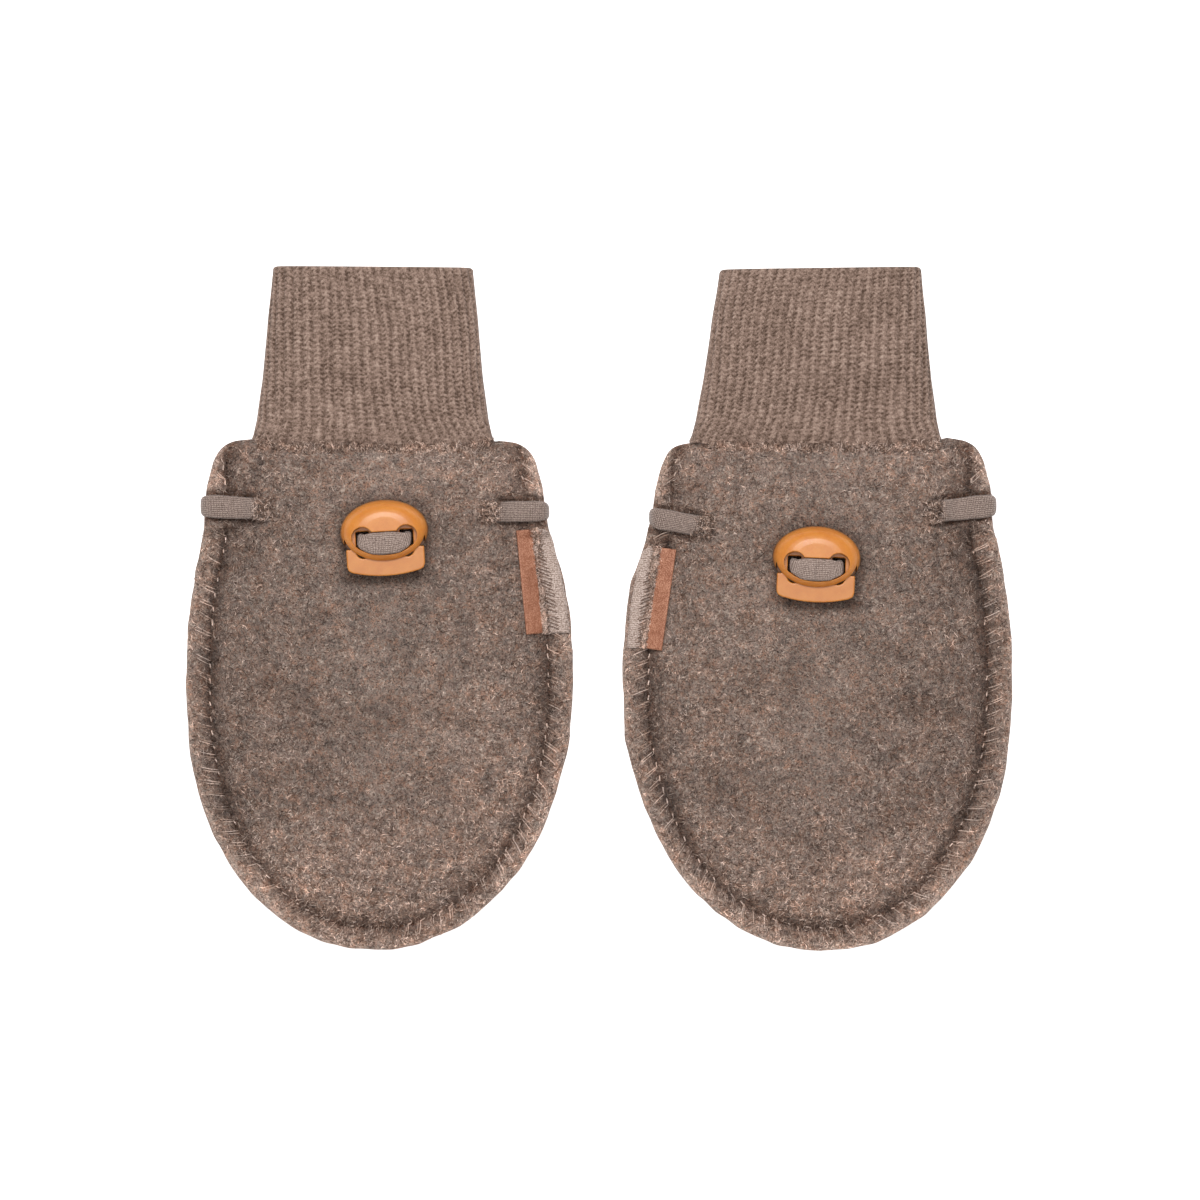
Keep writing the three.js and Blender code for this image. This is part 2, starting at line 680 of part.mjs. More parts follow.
function mittenGroup(mitten) {
  const plan = outline(mitten);
  const fabric = cloth(mitten, plan.points);
  const route = strapRoute(mitten, fabric);
  const strap = strapSolid(route, 0);
  const strapRoom = strapSolid(route, STRAP_ROOM);
  const strips = labelSolids(mitten, fabric);
  const front = panel(plan, frontInsets(fabric), fabric.frontTop, fabric.frontUnderside);
  const back = panel(plan, backInsets, fabric.backTop, fabric.backUnderside);
  const tilt = -THREE.MathUtils.degToRad(mitten.lock.tilt);
  const onLock = (geometry) => {
    const placed = geometry.clone();
    placed.rotateZ(tilt);
    placed.translate(mitten.lock.across, mitten.lock.up, LOCK_BASE);
    return mergeVertices(placed, 1e-4);
  };
  const pieces = [
    ['back_panel', cut(back, strapRoom), MATERIALS.wool],
    ['front_panel', cut(front, strapRoom), MATERIALS.wool],
    ['cuff', cuffSolid(), MATERIALS.rib],
    ['drawstring', strap, MATERIALS.cord],
    ['lock_body', onLock(lockBodySolid()), MATERIALS.plastic],
    ['lock_button', onLock(buttonSolid()), MATERIALS.plastic],
    ['label', strips.label, MATERIALS.leather],
    ['label_tape', strips.tape, MATERIALS.tape],
  ];
  const group = new THREE.Group();
  for (const [piece, geometry, material] of pieces) {
    const mesh = new THREE.Mesh(mitten.side > 0 ? geometry : mirrored(geometry), material);
    mesh.name = `${mitten.name}_${piece}`;
    group.add(mesh);
  }
  group.position.x = mitten.side * MITTEN_OFFSET;
  return group;
}

const pair = new THREE.Group();
for (const mitten of MITTENS) pair.add(mittenGroup(mitten));

export default pair;
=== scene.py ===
# A pair of baby mittens: felted wool bodies, rib cuffs, flat drawstrings and cord locks,
# lying flat with the cuffs towards +Y. Sizes are in millimetres until a mesh is made.

import math

import bmesh
import bpy
import numpy as np
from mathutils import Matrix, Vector


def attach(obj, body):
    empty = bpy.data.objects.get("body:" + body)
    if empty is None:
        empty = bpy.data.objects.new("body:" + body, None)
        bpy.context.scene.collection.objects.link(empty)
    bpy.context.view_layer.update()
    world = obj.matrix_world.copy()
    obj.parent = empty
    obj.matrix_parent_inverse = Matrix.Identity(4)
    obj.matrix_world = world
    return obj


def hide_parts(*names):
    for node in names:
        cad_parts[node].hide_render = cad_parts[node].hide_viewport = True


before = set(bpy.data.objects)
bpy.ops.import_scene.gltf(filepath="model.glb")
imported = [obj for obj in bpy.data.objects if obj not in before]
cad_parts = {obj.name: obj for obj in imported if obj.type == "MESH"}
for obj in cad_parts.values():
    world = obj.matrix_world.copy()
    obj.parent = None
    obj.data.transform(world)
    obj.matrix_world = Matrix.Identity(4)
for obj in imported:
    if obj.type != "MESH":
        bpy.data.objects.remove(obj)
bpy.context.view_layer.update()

MM = 0.001

# Driving dimensions of the pair
LENGTH = 140
CUFF_LENGTH = 35.6
MITTEN_OFFSET = 44.85
BODY_HALF_WIDTH = 39.4
TOP_LEAN = 0.9
SEAM_GAP = 0.3
TOP_Y = LENGTH / 2
TIP_Y = -LENGTH / 2
NECK_Y = TOP_Y - CUFF_LENGTH - SEAM_GAP
WIDEST_Y = -16.6

# Felted wool
WOOL = 2.0
PINCHED_WOOL = 1.5
CROWN_RISE = 4.9
CROWN_RUN = 13
GROOVE_DEPTH = 0.75
FRONT_UNDERSIDE = WOOL + SEAM_GAP
PLATEAU_TOP = FRONT_UNDERSIDE + CROWN_RISE + WOOL
EDGE_BULGE = 0.1
BACK_SHADE = 0.2
EDGE_FUZZ = 0.22
FIBRE_LIFT = (4.1, 5.6, 6.95)
FRONT_FIBRES = 22500
NECK_FIBRES = 1500

# Rib cuff
CUFF_WALL = 1.7
CUFF_HEIGHT = 8.4
CUFF_COLUMNS = 310
CUFF_TUCK = 1.9
RIB_PITCH = 1.83
RIB_HEIGHT = 0.3
RIB_DRIFT = 4.3
STITCH_PITCH = 0.94
FOLD_Y = LENGTH / 2 - 0.9
NECK_SINK = 0.5
NECK_HALF = 25.2
NECK_DIP = 1.1

# Drawstring
STRAP_WIDTH = 4.9
STRAP_AT_HOLE = 4.2
STRAP_INSIDE = 4.4
STRAP_IN_BOWL = 4.6
STRAP_NARROW = 3.0
STRAP_IN_BUTTON = 2.2
STRAP_THICKNESS = 1.6
STRAP_CLEAR = 0.45
HALF_STRAP = STRAP_THICKNESS / 2
STRAP_REST = 0.15
TROUGH_LIFT = STRAP_REST + STRAP_THICKNESS + STRAP_CLEAR
UNDER_FRONT = FRONT_UNDERSIDE + CROWN_RISE - STRAP_CLEAR - HALF_STRAP
OVER_BACK = WOOL + STRAP_CLEAR + HALF_STRAP
OUTER_REACH = 1.4
INNER_REACH = 0.6

# Cord lock
LOCK_WIDTH = 18
LOCK_DEPTH = 12.9
LOCK_HEIGHT = 7
LOCK_BASE = PLATEAU_TOP + SEAM_GAP
LOCK_HOLE_OFFSET = 4.5
LOCK_HOLE_RADIUS = 2.2
BUTTON_WIDTH = 15.9
BUTTON_TRAVEL = 2.4
SLOT_FLOOR = 1.2
SLOT_TOP = 4.6
BOWL_FLOOR = 5.2
BOWL_HALF = 6.65
BOWL_DROP = 3.7
HOLE_UP = -1.15
SADDLE_UP = -0.1
STRAP_UP_IN_HOLE = -1.45
STRAP_UP_IN_BOWL = -2.45

# Side label and its tape
LABEL_WIDTH = 3.6
LABEL_THICKNESS = 0.8
TAPE_THICKNESS = 0.5
LABEL_GAP = 0.45
TAPE_CORNER = 1.8
FRINGE_FIBRES = 1500

# Overlock stitches round the edge
OVERLOCK_PITCH = 2.9
OVERLOCK_SLANT = 2.7
OVERLOCK_START = 9.0
RIM_HEIGHTS = (3.3, 2.1, 0.9)
THREAD_RADIUS = 0.085
HOLE_FIBRES = 280

# Half the width of the body from the corner of the neck down to its widest line
SIDE_LINE = [
    {"half": 25.2, "y": NECK_Y}, {"half": 28.6, "y": 33.8}, {"half": 31.2, "y": 32.7},
    {"half": 32.7, "y": 30.7}, {"half": 33.6, "y": 28.0}, {"half": 34.3, "y": 24.3},
    {"half": 35.0, "y": 18.2}, {"half": 36.3, "y": 12.1}, {"half": 38.4, "y": 1.8},
    {"half": 39.2, "y": -8.0}, {"half": BODY_HALF_WIDTH, "y": WIDEST_Y},
]
SHOULDER_TOP = 32.7
TIP_POWER = 2.08
FAN_DEPTH = 1 - (BODY_HALF_WIDTH / (WIDEST_Y - TIP_Y)) ** 2

# Width of the seam allowance, by height
ALLOWANCE = [
    {"y": 17.0, "width": 4.6}, {"y": 24.0, "width": 4.1},
    {"y": 28.4, "width": 2.9}, {"y": 32.0, "width": 1.6},
]

# Half the width of the cuff
CUFF_ROWS = [
    {"y": NECK_Y + SEAM_GAP, "half": 25.5}, {"y": 35.6, "half": 25.0}, {"y": 38.6, "half": 24.3},
    {"y": 46.8, "half": 23.1}, {"y": 55.0, "half": 22.2},
    {"y": 63.2, "half": 21.3}, {"y": FOLD_Y, "half": 20.7},
]

# Each mitten, measured outwards from its own middle and up from the origin.
# A cuff's shift moves its middle line outwards and its grow widens it, first at
# the top and then at the foot. Its slope lifts the opening's outer side and
# lowers the inner one, and lower drops the whole opening. The wool's edge lies
# edge further out than the frame's, inner_edge less far on the inner shoulder,
# and its tip is the middle of the blunt end. A dent is a soft trough in the wool
# with painted shade in it, and a negative depth is a soft ridge. A paler patch
# makes the wool lighter there.
MITTENS = [
    {
        "name": "left", "side": -1, "seed": 11,
        "lock": {"across": -1.2, "up": 15.85, "tilt": 3.4},
        "outer": {"hole": 20.4, "edge": 21.0}, "inner": {"hole": 19.8, "edge": 20.0},
        "cuff": {"shift": (0.37, 0.47), "grow": (-0.05, -0.5), "slope": 0.2, "lower": 0.0},
        "edge": 0.12, "inner_edge": 0.4, "tip": 4.0,
        "paler": [
            {"x": -26, "y": -37, "wide": 14, "tall": 19, "share": 0.38},
            {"x": -20, "y": 6, "wide": 7, "tall": 15, "share": 0.16},
            {"x": 17, "y": -54, "wide": 17, "tall": 10, "share": 0.2},
            {"x": -30, "y": 27, "wide": 6, "tall": 5, "share": 0.42},
            {"x": -16, "y": 29, "wide": 9, "tall": 5, "share": 0.18},
        ],
        "label": {"top": (-29.8, 16.2), "foot": (-31.9, -5.1)},
        "dents": [
            {"x": 22, "y": -17, "turn": 12, "long": 17, "wide": 3.4, "depth": 0.55},
            {"x": 2, "y": -22, "turn": -6, "long": 22, "wide": 4.2, "depth": 0.40},
            {"x": -15, "y": -38, "turn": 28, "long": 12, "wide": 3.0, "depth": 0.45},
            {"x": 27, "y": 13, "turn": 78, "long": 9, "wide": 2.4, "depth": 0.60},
            {"x": 26, "y": 27, "turn": 82, "long": 6, "wide": 1.8, "depth": 0.55},
            {"x": -24, "y": 27, "turn": 95, "long": 6, "wide": 2.0, "depth": 0.45},
            {"x": 12, "y": 28, "turn": 4, "long": 11, "wide": 2.6, "depth": 0.30},
            {"x": -8, "y": 1, "turn": -14, "long": 14, "wide": 4.5, "depth": 0.30},
            {"x": 8, "y": -48, "turn": 3, "long": 15, "wide": 3.6, "depth": -0.35},
            {"x": 29.8, "y": 24.6, "turn": 155, "long": 5, "wide": 1.5, "depth": 0.75},
        ],
    },
    {
        "name": "right", "side": 1, "seed": 47,
        "lock": {"across": -0.4, "up": 10.45, "tilt": 2.5},
        "outer": {"hole": 19.8, "edge": 21.1}, "inner": {"hole": 16.6, "edge": 18.8},
        "cuff": {"shift": (-0.35, -1.3), "grow": (0.05, 0.5), "slope": 0.35, "lower": 0.25},
        "edge": 0.35, "inner_edge": 0.85, "tip": 1.0,
        "paler": [
            {"x": -19, "y": -8, "wide": 13, "tall": 22, "share": 0.2},
            {"x": -22, "y": -54, "wide": 15, "tall": 10, "share": 0.15},
            {"x": 19, "y": -46, "wide": 11, "tall": 12, "share": 0.16},
            {"x": -30, "y": 27, "wide": 6, "tall": 5, "share": 0.34},
            {"x": 16, "y": 29, "wide": 16, "tall": 5, "share": 0.18},
        ],
        "label": {"top": (-30.7, 12.4), "foot": (-33.7, -8.3)},
        "dents": [
            {"x": 20, "y": -20, "turn": -9, "long": 16, "wide": 3.2, "depth": 0.50},
            {"x": -6, "y": -14, "turn": 7, "long": 19, "wide": 4.4, "depth": 0.38},
            {"x": -18, "y": -36, "turn": -24, "long": 11, "wide": 3.0, "depth": 0.42},
            {"x": 28, "y": 11, "turn": 100, "long": 9, "wide": 2.6, "depth": 0.55},
            {"x": 25, "y": 27, "turn": 97, "long": 7, "wide": 1.9, "depth": 0.55},
            {"x": -25, "y": 26, "turn": 84, "long": 6, "wide": 2.1, "depth": 0.50},
            {"x": 4, "y": 27, "turn": -5, "long": 13, "wide": 2.8, "depth": 0.30},
            {"x": 16, "y": -42, "turn": 35, "long": 13, "wide": 3.4, "depth": 0.34},
            {"x": -4, "y": -52, "turn": -4, "long": 14, "wide": 3.4, "depth": -0.32},
            {"x": 29.6, "y": 25.0, "turn": 25, "long": 5, "wide": 1.4, "depth": 0.6},
        ],
    },
]

# The photograph's frame, in the plane of the mittens' upper faces
PHOTO_WIDTH = 245.4
PHOTO_CENTRE = (0.307, 1.84)
CAMERA_DISTANCE = 2000
CAMERA_SENSOR = 36


def ease(value, low, high):
    """0 at low and 1 at high, with level ends"""
    t = np.clip((value - low) / (high - low), 0, 1)
    return t * t * (3 - 2 * t)


def bell(value, width):
    return np.exp(-((value / width) ** 2))


def noise(x, y, cell, seed):
    """Smooth random heights from -1 to 1, with hills about one cell wide"""
    u, v = x / cell, y / cell
    i, j = np.floor(u).astype(np.int64), np.floor(v).astype(np.int64)
    fu, fv = u - i, v - j
    fu, fv = fu * fu * (3 - 2 * fu), fv * fv * (3 - 2 * fv)

    def corner(a, b):
        h = (a * 374761393 + b * 668265263 + seed * 144269504) & 0xFFFFFFFF
        h = ((h ^ (h >> 13)) * 1274126177) & 0xFFFFFFFF
        return ((h ^ (h >> 16)) & 0xFFFFFF) / 0x7FFFFF - 1

    low = corner(i, j) * (1 - fu) + corner(i + 1, j) * fu
    high = corner(i, j + 1) * (1 - fu) + corner(i + 1, j + 1) * fu
    return low * (1 - fv) + high * fv


def column(rows, key):
    return np.array([row[key] for row in rows], float)


def spline(points, steps):
    """A smooth line through all of the points"""
    p = np.asarray(points, float)
    p = np.vstack([2 * p[0] - p[1], p, 2 * p[-1] - p[-2]])
    t = np.linspace(0, 1, steps, endpoint=False)[:, None]
    parts = []
    for a, b, c, d in zip(p, p[1:], p[2:], p[3:]):
        parts.append(b + 0.5 * t * (c - a + t * (2 * a - 5 * b + 4 * c - d + t * (3 * (b - c) + d - a))))
    return np.vstack([*parts, p[-2:-1]])


def resampled(line, count):
    """The same line with evenly spaced points"""
    lengths = np.r_[0, np.cumsum(np.linalg.norm(np.diff(line, axis=0), axis=1))]
    wanted = np.linspace(0, lengths[-1], count)
    return np.stack([np.interp(wanted, lengths, line[:, k]) for k in range(line.shape[1])], axis=1)


def lean(y):
    return TOP_LEAN * np.clip(((y - WIDEST_Y) / (NECK_Y - WIDEST_Y)) ** 2, 0, 1)


def half_outline(count):
    """Half widths and heights from the corner of the neck down to the tip"""
    upper = spline([(row["half"], row["y"]) for row in SIDE_LINE], 12)
    angle = np.linspace(0, math.pi / 2, 90)[1:]
    half = BODY_HALF_WIDTH * np.cos(angle) ** (2 / TIP_POWER)
    half[-1] = 0
    y = WIDEST_Y + (TIP_Y - WIDEST_Y) * np.sin(angle) ** (2 / TIP_POWER)
    return resampled(np.vstack([upper, np.stack([half, y], axis=1)]), count)


HALF_ROWS = 250
HALF_LINE = half_outline(HALF_ROWS)


def body_half(y):
    upper = HALF_LINE[HALF_LINE[:, 1] > WIDEST_Y - 0.5][::-1]
    return np.interp(y, upper[:, 1], upper[:, 0])


def distance_to(line, x, y):
    """Distance from each point to a line of points"""
    shape = np.shape(x)
    p = np.stack([np.ravel(x), np.ravel(y)], axis=1)
    a, d = line[:-1], np.diff(line, axis=0)
    length2 = np.sum(d * d, axis=1)
    found = []
    for part in np.array_split(p, max(1, len(p) // 4000)):
        w = part[:, None] - a
        t = np.clip(np.einsum("ijk,jk->ij", w, d) / length2, 0, 1)
        gap = w - t[..., None] * d
        found.append(np.sqrt(np.min(np.sum(gap * gap, axis=2), axis=1)))
    return np.concatenate(found).reshape(shape)


class Cloth:
    """The wool body of one mitten: its outline and the heights of its faces"""

    def __init__(self, mitten):
        self.mitten = mitten
        self.seed = mitten["seed"]
        outer = HALF_LINE
        inner = HALF_LINE[:-1][::-1]
        x = np.r_[lean(outer[:, 1]) + outer[:, 0], lean(inner[:, 1]) - inner[:, 0]]
        y = np.r_[outer[:, 1], inner[:, 1]]
        self.edge = np.stack([x, y], axis=1)
        pulled = np.where(y > WIDEST_Y, y, WIDEST_Y + (y - WIDEST_Y) * FAN_DEPTH)
        self.middle = np.stack([lean(y), pulled], axis=1)
        self.along = np.r_[0, np.cumsum(np.linalg.norm(np.diff(self.edge, axis=0), axis=1))]
        inward = self.middle - self.edge
        self.reach = np.linalg.norm(inward, axis=1)
        self.inward = inward / self.reach[:, None]
        tangent = np.gradient(self.edge, axis=0)
        tangent /= np.linalg.norm(tangent, axis=1)[:, None]
        self.outward = np.stack([-tangent[:, 1], tangent[:, 0]], axis=1)
        self.wave = self.edge_wave(self.along)
        low = y < SHOULDER_TOP
        self.sides = self.edge[low]
        first, last = np.flatnonzero(low)[[0, -1]]
        self.tops = [self.edge[:first + 1], self.edge[last:]]

    def edge_wave(self, s):
        """How far the cut edge strays from its line"""
        x, y = (np.interp(s, self.along, self.edge[:, k]) for k in range(2))
        slow = 0.18 * noise(s, s * 0, 7.5, self.seed)
        quick = 0.15 * noise(s, s * 0, OVERLOCK_PITCH, self.seed + 1)
        full = 0.6 * bell(y + 46, 13) * (x > 0)
        beside_tip = x - self.mitten["tip"]
        short = (0.25 + self.mitten["edge"]) * bell(beside_tip, 13) * (y < WIDEST_Y)
        slim = 0.45 * ease(-y, 28, 42) * (1 - bell(beside_tip, 12))
        shoulder = self.mitten["inner_edge"] * ease(y, 5, 15) * (x < 0)
        return slow + quick + self.mitten["edge"] + full - short - slim - shoulder

    def neck_shift(self, x, y):
        """How far the wool's upper edge hangs down over the foot of the cuff"""
        away = np.abs(x - lean(NECK_Y))
        across = np.clip(away / NECK_HALF, 0, 1)
        dip = (NECK_DIP + 0.3 * noise(x, x * 0, 2.6, self.seed + 6)) * (1 - across**4)
        corner = 0.45 * ease(away, 22, 24.5) * (1 - ease(away, 28.5, 32))
        return (corner - dip) * ease(y, NECK_Y - 5, NECK_Y)

    def cuff_top(self, x):
        """Height of the cuff's foot, which the wool's upper edge lies on"""
        across = np.clip(np.abs(x - lean(NECK_Y)) / NECK_HALF, 0, 1)
        return (CUFF_HEIGHT - NECK_SINK) / 2 * (1 + np.sqrt(1 - across**5))

    def at(self, s, inset):
        """Places in plan at lengths along the edge and insets from it, and how far the wave moves them"""
        edge, inward, outward = (
            np.stack([np.interp(s, self.along, table[:, k]) for k in range(2)], axis=-1)
            for table in (self.edge, self.inward, self.outward)
        )
        inset = np.asarray(inset, float)
        place = edge + inward * inset[..., None]
        shift = outward * (self.edge_wave(s) * (1 - ease(inset, 0, 4)))[..., None]
        return place, shift

    def allowance(self, y):
        return np.interp(y, column(ALLOWANCE, "y"), column(ALLOWANCE, "width"))

    def strap_offset(self, x, y):
        """Distance from the edge, and how far above or below the strap's middle, near the wraps"""
        edge = body_half(y) - np.abs(x - lean(y))
        t = np.clip(edge / 12, 0, 1)
        outer, inner = self.mitten["outer"], self.mitten["inner"]
        middle_outer = outer["edge"] + t * (outer["hole"] - outer["edge"])
        middle_inner = inner["edge"] + t * (inner["hole"] - inner["edge"])
        return edge, y - np.where(x > 0, middle_outer, middle_inner)

    def pinch(self, x, y):
        edge, offset = self.strap_offset(x, y)
        return (1 - ease(np.abs(offset), 2.7, 5.8)) * (1 - ease(edge, 7.5, 14.5))

    def inset(self, x, y):
        return distance_to(self.sides, x, y)

    def crown(self, x, y, inset):
        side = np.clip((inset - self.allowance(y) - 0.3) / CROWN_RUN, 0, 1)
        top = np.minimum(*(distance_to(line, x, y) for line in self.tops))
        short_side = 1 - np.sin(side * math.pi / 2)
        short_top = 1 - np.sin(np.clip(top / 5, 0, 1) * math.pi / 2)
        return CROWN_RISE * np.clip(1 - np.hypot(short_side, short_top), 0, 1)

    def rounding(self, inset, radius):
        """How much a cut edge is rounded off"""
        t = np.clip(1 - inset / radius, 0, 1)
        return radius * (1 - np.sqrt(1 - t * t))

    def back_top(self, x, y):
        pinch = self.pinch(x, y)
        return WOOL + (TROUGH_LIFT - WOOL + PINCHED_WOOL) * pinch

    def back_underside(self, x, y):
        """Flat where it rests, with the creases as shallow hollows and a rounded edge"""
        inset = self.inset(x, y)
        creased = np.clip(self.dents(-x, y + 4), 0, 0.8) * ease(inset, 6, 10)
        return TROUGH_LIFT * self.pinch(x, y) + creased + self.rounding(inset, 1.0) * 0.7

    def inner_face(self, x, y):
        pinched = self.back_top(x, y) + SEAM_GAP * (1 + self.pinch(x, y))
        return np.maximum(FRONT_UNDERSIDE + self.crown(x, y, self.inset(x, y)), pinched)

    def front_underside(self, x, y):
        """The inner face, which rises to a thin lip over the foot of the cuff"""
        plain = self.inner_face(x, y)
        lip = np.maximum(plain, self.cuff_top(x) + 0.2)
        return plain + (lip - plain) * ease(y, NECK_Y - 2.6, NECK_Y - 0.9)

    def dents(self, x, y):
        """The soft creases, as listed"""
        total = np.zeros_like(x)
        for dent in self.mitten["dents"]:
            turn = math.radians(dent["turn"])
            dx, dy = x - dent["x"], y - dent["y"]
            u = dx * math.cos(turn) + dy * math.sin(turn)
            v = dy * math.cos(turn) - dx * math.sin(turn) + 1.2 * noise(u, u * 0, 7, self.seed + 5)
            total += dent["depth"] * bell(u, dent["long"] / 1.6) * bell(v, dent["wide"])
        return total

    def front_top(self, x, y):
        inset = self.inset(x, y)
        pinch = self.pinch(x, y)
        allowance = self.allowance(y)
        wool = WOOL - (WOOL - PINCHED_WOOL) * pinch
        z = self.inner_face(x, y) + wool
        beside = np.clip(1 - pinch, 0, 1)
        from_seam = inset - allowance
        fall = np.where(from_seam < 0, 0.6, 1.7)
        z -= (GROOVE_DEPTH * bell(from_seam, fall) + 0.3 * bell(from_seam, 0.3)) * beside
        inside = ease(from_seam, 0.5, 4)
        z -= self.dents(x, y) * inside
        z += inside * 0.20 * noise(x, y, 8.5, self.seed + 2) * beside
        z += inside * 0.12 * noise(x, y, 3.4, self.seed + 3)
        z += 0.055 * noise(x, y, 1.15, self.seed + 4)
        edge, offset = self.strap_offset(x, y)
        wrap = 1 - ease(edge, 10.5, 14.5)
        z += 0.85 * wrap * bell(np.abs(offset) - 3.9, 1.25)
        z += 0.35 * bell(edge - 12.9, 1.3) * bell(offset, 2.8)
        over_cuff = np.minimum(z, self.cuff_top(x) + 0.45)
        z += (over_cuff - z) * ease(y, NECK_Y - 3.6, NECK_Y - 0.2)
        return z - self.rounding(inset, 1.0) * 0.9

    def hollow(self, x, y):
        """How much painted shade darkens the wool, from 0 to 1: along the seam groove, beside the strap wraps,
        round the lock and in the dents
        """
        from_seam = self.inset(x, y) - self.allowance(y)
        # Painted shade: seam is a broad band and the next line a narrow dark line along the seam groove; wrap is
        # painted shade beside the strap wraps.
        seam = 0.72 * bell(from_seam, np.where(from_seam < 0, 1.5, 2.3))
        groove_line_shade = bell(from_seam, 0.32)
        edge, offset = self.strap_offset(x, y)
        wrap = (1 - ease(edge, 8.5, 11.5)) * bell(np.abs(offset) - 2.6, 0.7)
        # Painted shadow round the lock and its button, and painted shade in the dents.
        painted_lock_shadow = 0.5 * bell(self.beside_lock(x, y), 1.7)
        painted_dent_shade = 0.55 * np.clip(self.dents(x, y), 0, 1)
        return np.clip(np.maximum.reduce([seam, groove_line_shade, wrap, painted_lock_shadow]) + painted_dent_shade, 0, 1)

    def beside_lock(self, x, y):
        """Distance from the outline of the lock and the outer end of its button"""
        lock = self.mitten["lock"]
        tilt = math.radians(lock["tilt"])
        dx, dy = x - lock["across"], y - lock["up"]
        a = np.abs(dx * math.cos(tilt) - dy * math.sin(tilt))
        b = dx * math.sin(tilt) + dy * math.cos(tilt)
        oval = (np.hypot(a / LOCK_WIDTH, b / LOCK_DEPTH) * 2 - 1) * LOCK_DEPTH / 2
        end = np.hypot(np.clip(a - BUTTON_WIDTH / 2, 0, None), np.clip(np.maximum(-9.0 - b, b), 0, None))
        return np.maximum(np.minimum(oval, end), 0)

    def pale(self, x, y):
        """How much lighter the wool is made: painted sheen along its raised edge, painted light at the tip and
        towards the neck, and paler patches
        """
        rim = 0.5 * bell(self.inset(x, y), 1.9)
        total = rim + 0.36 * ease(-y, 38, 62) + 0.14 * ease(y, 21, 28)
        for patch in self.mitten["paler"]:
            spot = patch["share"] * bell(x - patch["x"], patch["wide"])
            total += spot * bell(y - patch["y"], patch["tall"])
        return total


def place_on(side, points):
    """From a mitten's own millimetres to the pair's, the left one mirrored"""
    placed = np.array(points, float)
    placed[..., 0] = side * (MITTEN_OFFSET + placed[..., 0])
    return placed


def mesh_piece(name, points, faces, side=1, attributes=None, uv=None, tidy=False):
    """A smooth mesh object from points in millimetres and lists of quads and triangles"""
    faces = [np.asarray(part, np.int64).reshape(-1, np.shape(part)[-1]) for part in faces if len(part)]
    used, back = np.unique(np.concatenate([part.ravel() for part in faces]), return_inverse=True)
    flat = back[::-1] if side < 0 else back
    sizes = np.concatenate([np.full(len(part), part.shape[1]) for part in faces])
    if side < 0:
        sizes = sizes[::-1]
    world = place_on(side, np.asarray(points, float)[used]) if side else np.asarray(points, float)[used]
    mesh = bpy.data.meshes.new(name)
    mesh.vertices.add(len(world))
    mesh.vertices.foreach_set("co", (world * MM).astype(np.float32).ravel())
    mesh.loops.add(len(flat))
    mesh.loops.foreach_set("vertex_index", flat.astype(np.int32))
    mesh.polygons.add(len(sizes))
    mesh.polygons.foreach_set("loop_start", np.r_[0, np.cumsum(sizes)[:-1]].astype(np.int32))
    mesh.polygons.foreach_set("use_smooth", np.ones(len(sizes), bool))
    mesh.update(calc_edges=True)
    for key, values in (attributes or {}).items():
        layer = mesh.attributes.new(key, "FLOAT", "POINT")
        layer.data.foreach_set("value", np.asarray(values, np.float32).ravel()[used])
    if uv is not None:
        layer = mesh.uv_layers.new(name="thread")
        layer.data.foreach_set("uv", np.asarray(uv, np.float32)[used][flat].ravel())
    if tidy:
        work = bmesh.new()
        work.from_mesh(mesh)
        bmesh.ops.recalc_face_normals(work, faces=work.faces)
        work.to_mesh(mesh)
        work.free()
    mesh.validate()
    piece = bpy.data.objects.new(name, mesh)
    bpy.context.scene.collection.objects.link(piece)
    return piece


def grid_quads(index, endless_rows=False, endless_columns=False):
    """Quads of a grid of vertex numbers"""
    rows = np.vstack([index, index[:1]]) if endless_rows else index
    both = np.hstack([rows, rows[:, :1]]) if endless_columns else rows
    quads = np.stack([both[:-1, :-1], both[:-1, 1:], both[1:, 1:], both[1:, :-1]], axis=-1)
    return quads.reshape(-1, 4)


def zipped(first, second, at_first, at_second):
    """Triangles between two chains of vertices with different spacing"""
    faces = []
    i = j = 0
    while i < len(first) - 1 or j < len(second) - 1:
        step_first = j == len(second) - 1 or (i < len(first) - 1 and at_first[i + 1] <= at_second[j + 1])
        if step_first:
            faces.append((first[i], first[i + 1], second[j]))
            i += 1
        else:
            faces.append((first[i], second[j + 1], second[j]))
            j += 1
    return faces


def panel_columns(cloth, face):
    """Insets of the columns of one face of a panel, one row for each point of the outline"""
    allowance = cloth.allowance(cloth.edge[:, 1])[:, None]
    if face == "shown":
        seam = np.r_[0, 0.12, 0.3, 0.6, np.linspace(1.0, 4.6, 11)] / 4.6
        run = np.r_[0.2, 0.4, 0.65, 0.95, 1.3, 1.7, np.arange(2.15, 14, 0.5)]
        rest = np.linspace(0, 1, 22)[1:]
    elif face == "resting":
        seam = np.array([0, 0.06, 0.2, 0.6, 1])
        run = np.arange(1.5, 14, 1.5)
        rest = np.linspace(0, 1, 14)[1:]
    else:
        seam = np.array([0, 0.06, 0.2, 0.6, 1])
        run = np.array([2, 4, 6, 8, 11])
        rest = np.linspace(0, 1, 7)[1:]
    start = allowance + run[-1]
    spread = start + (cloth.reach[:, None] - start) * rest
    return np.hstack([allowance * seam, allowance + run, spread])


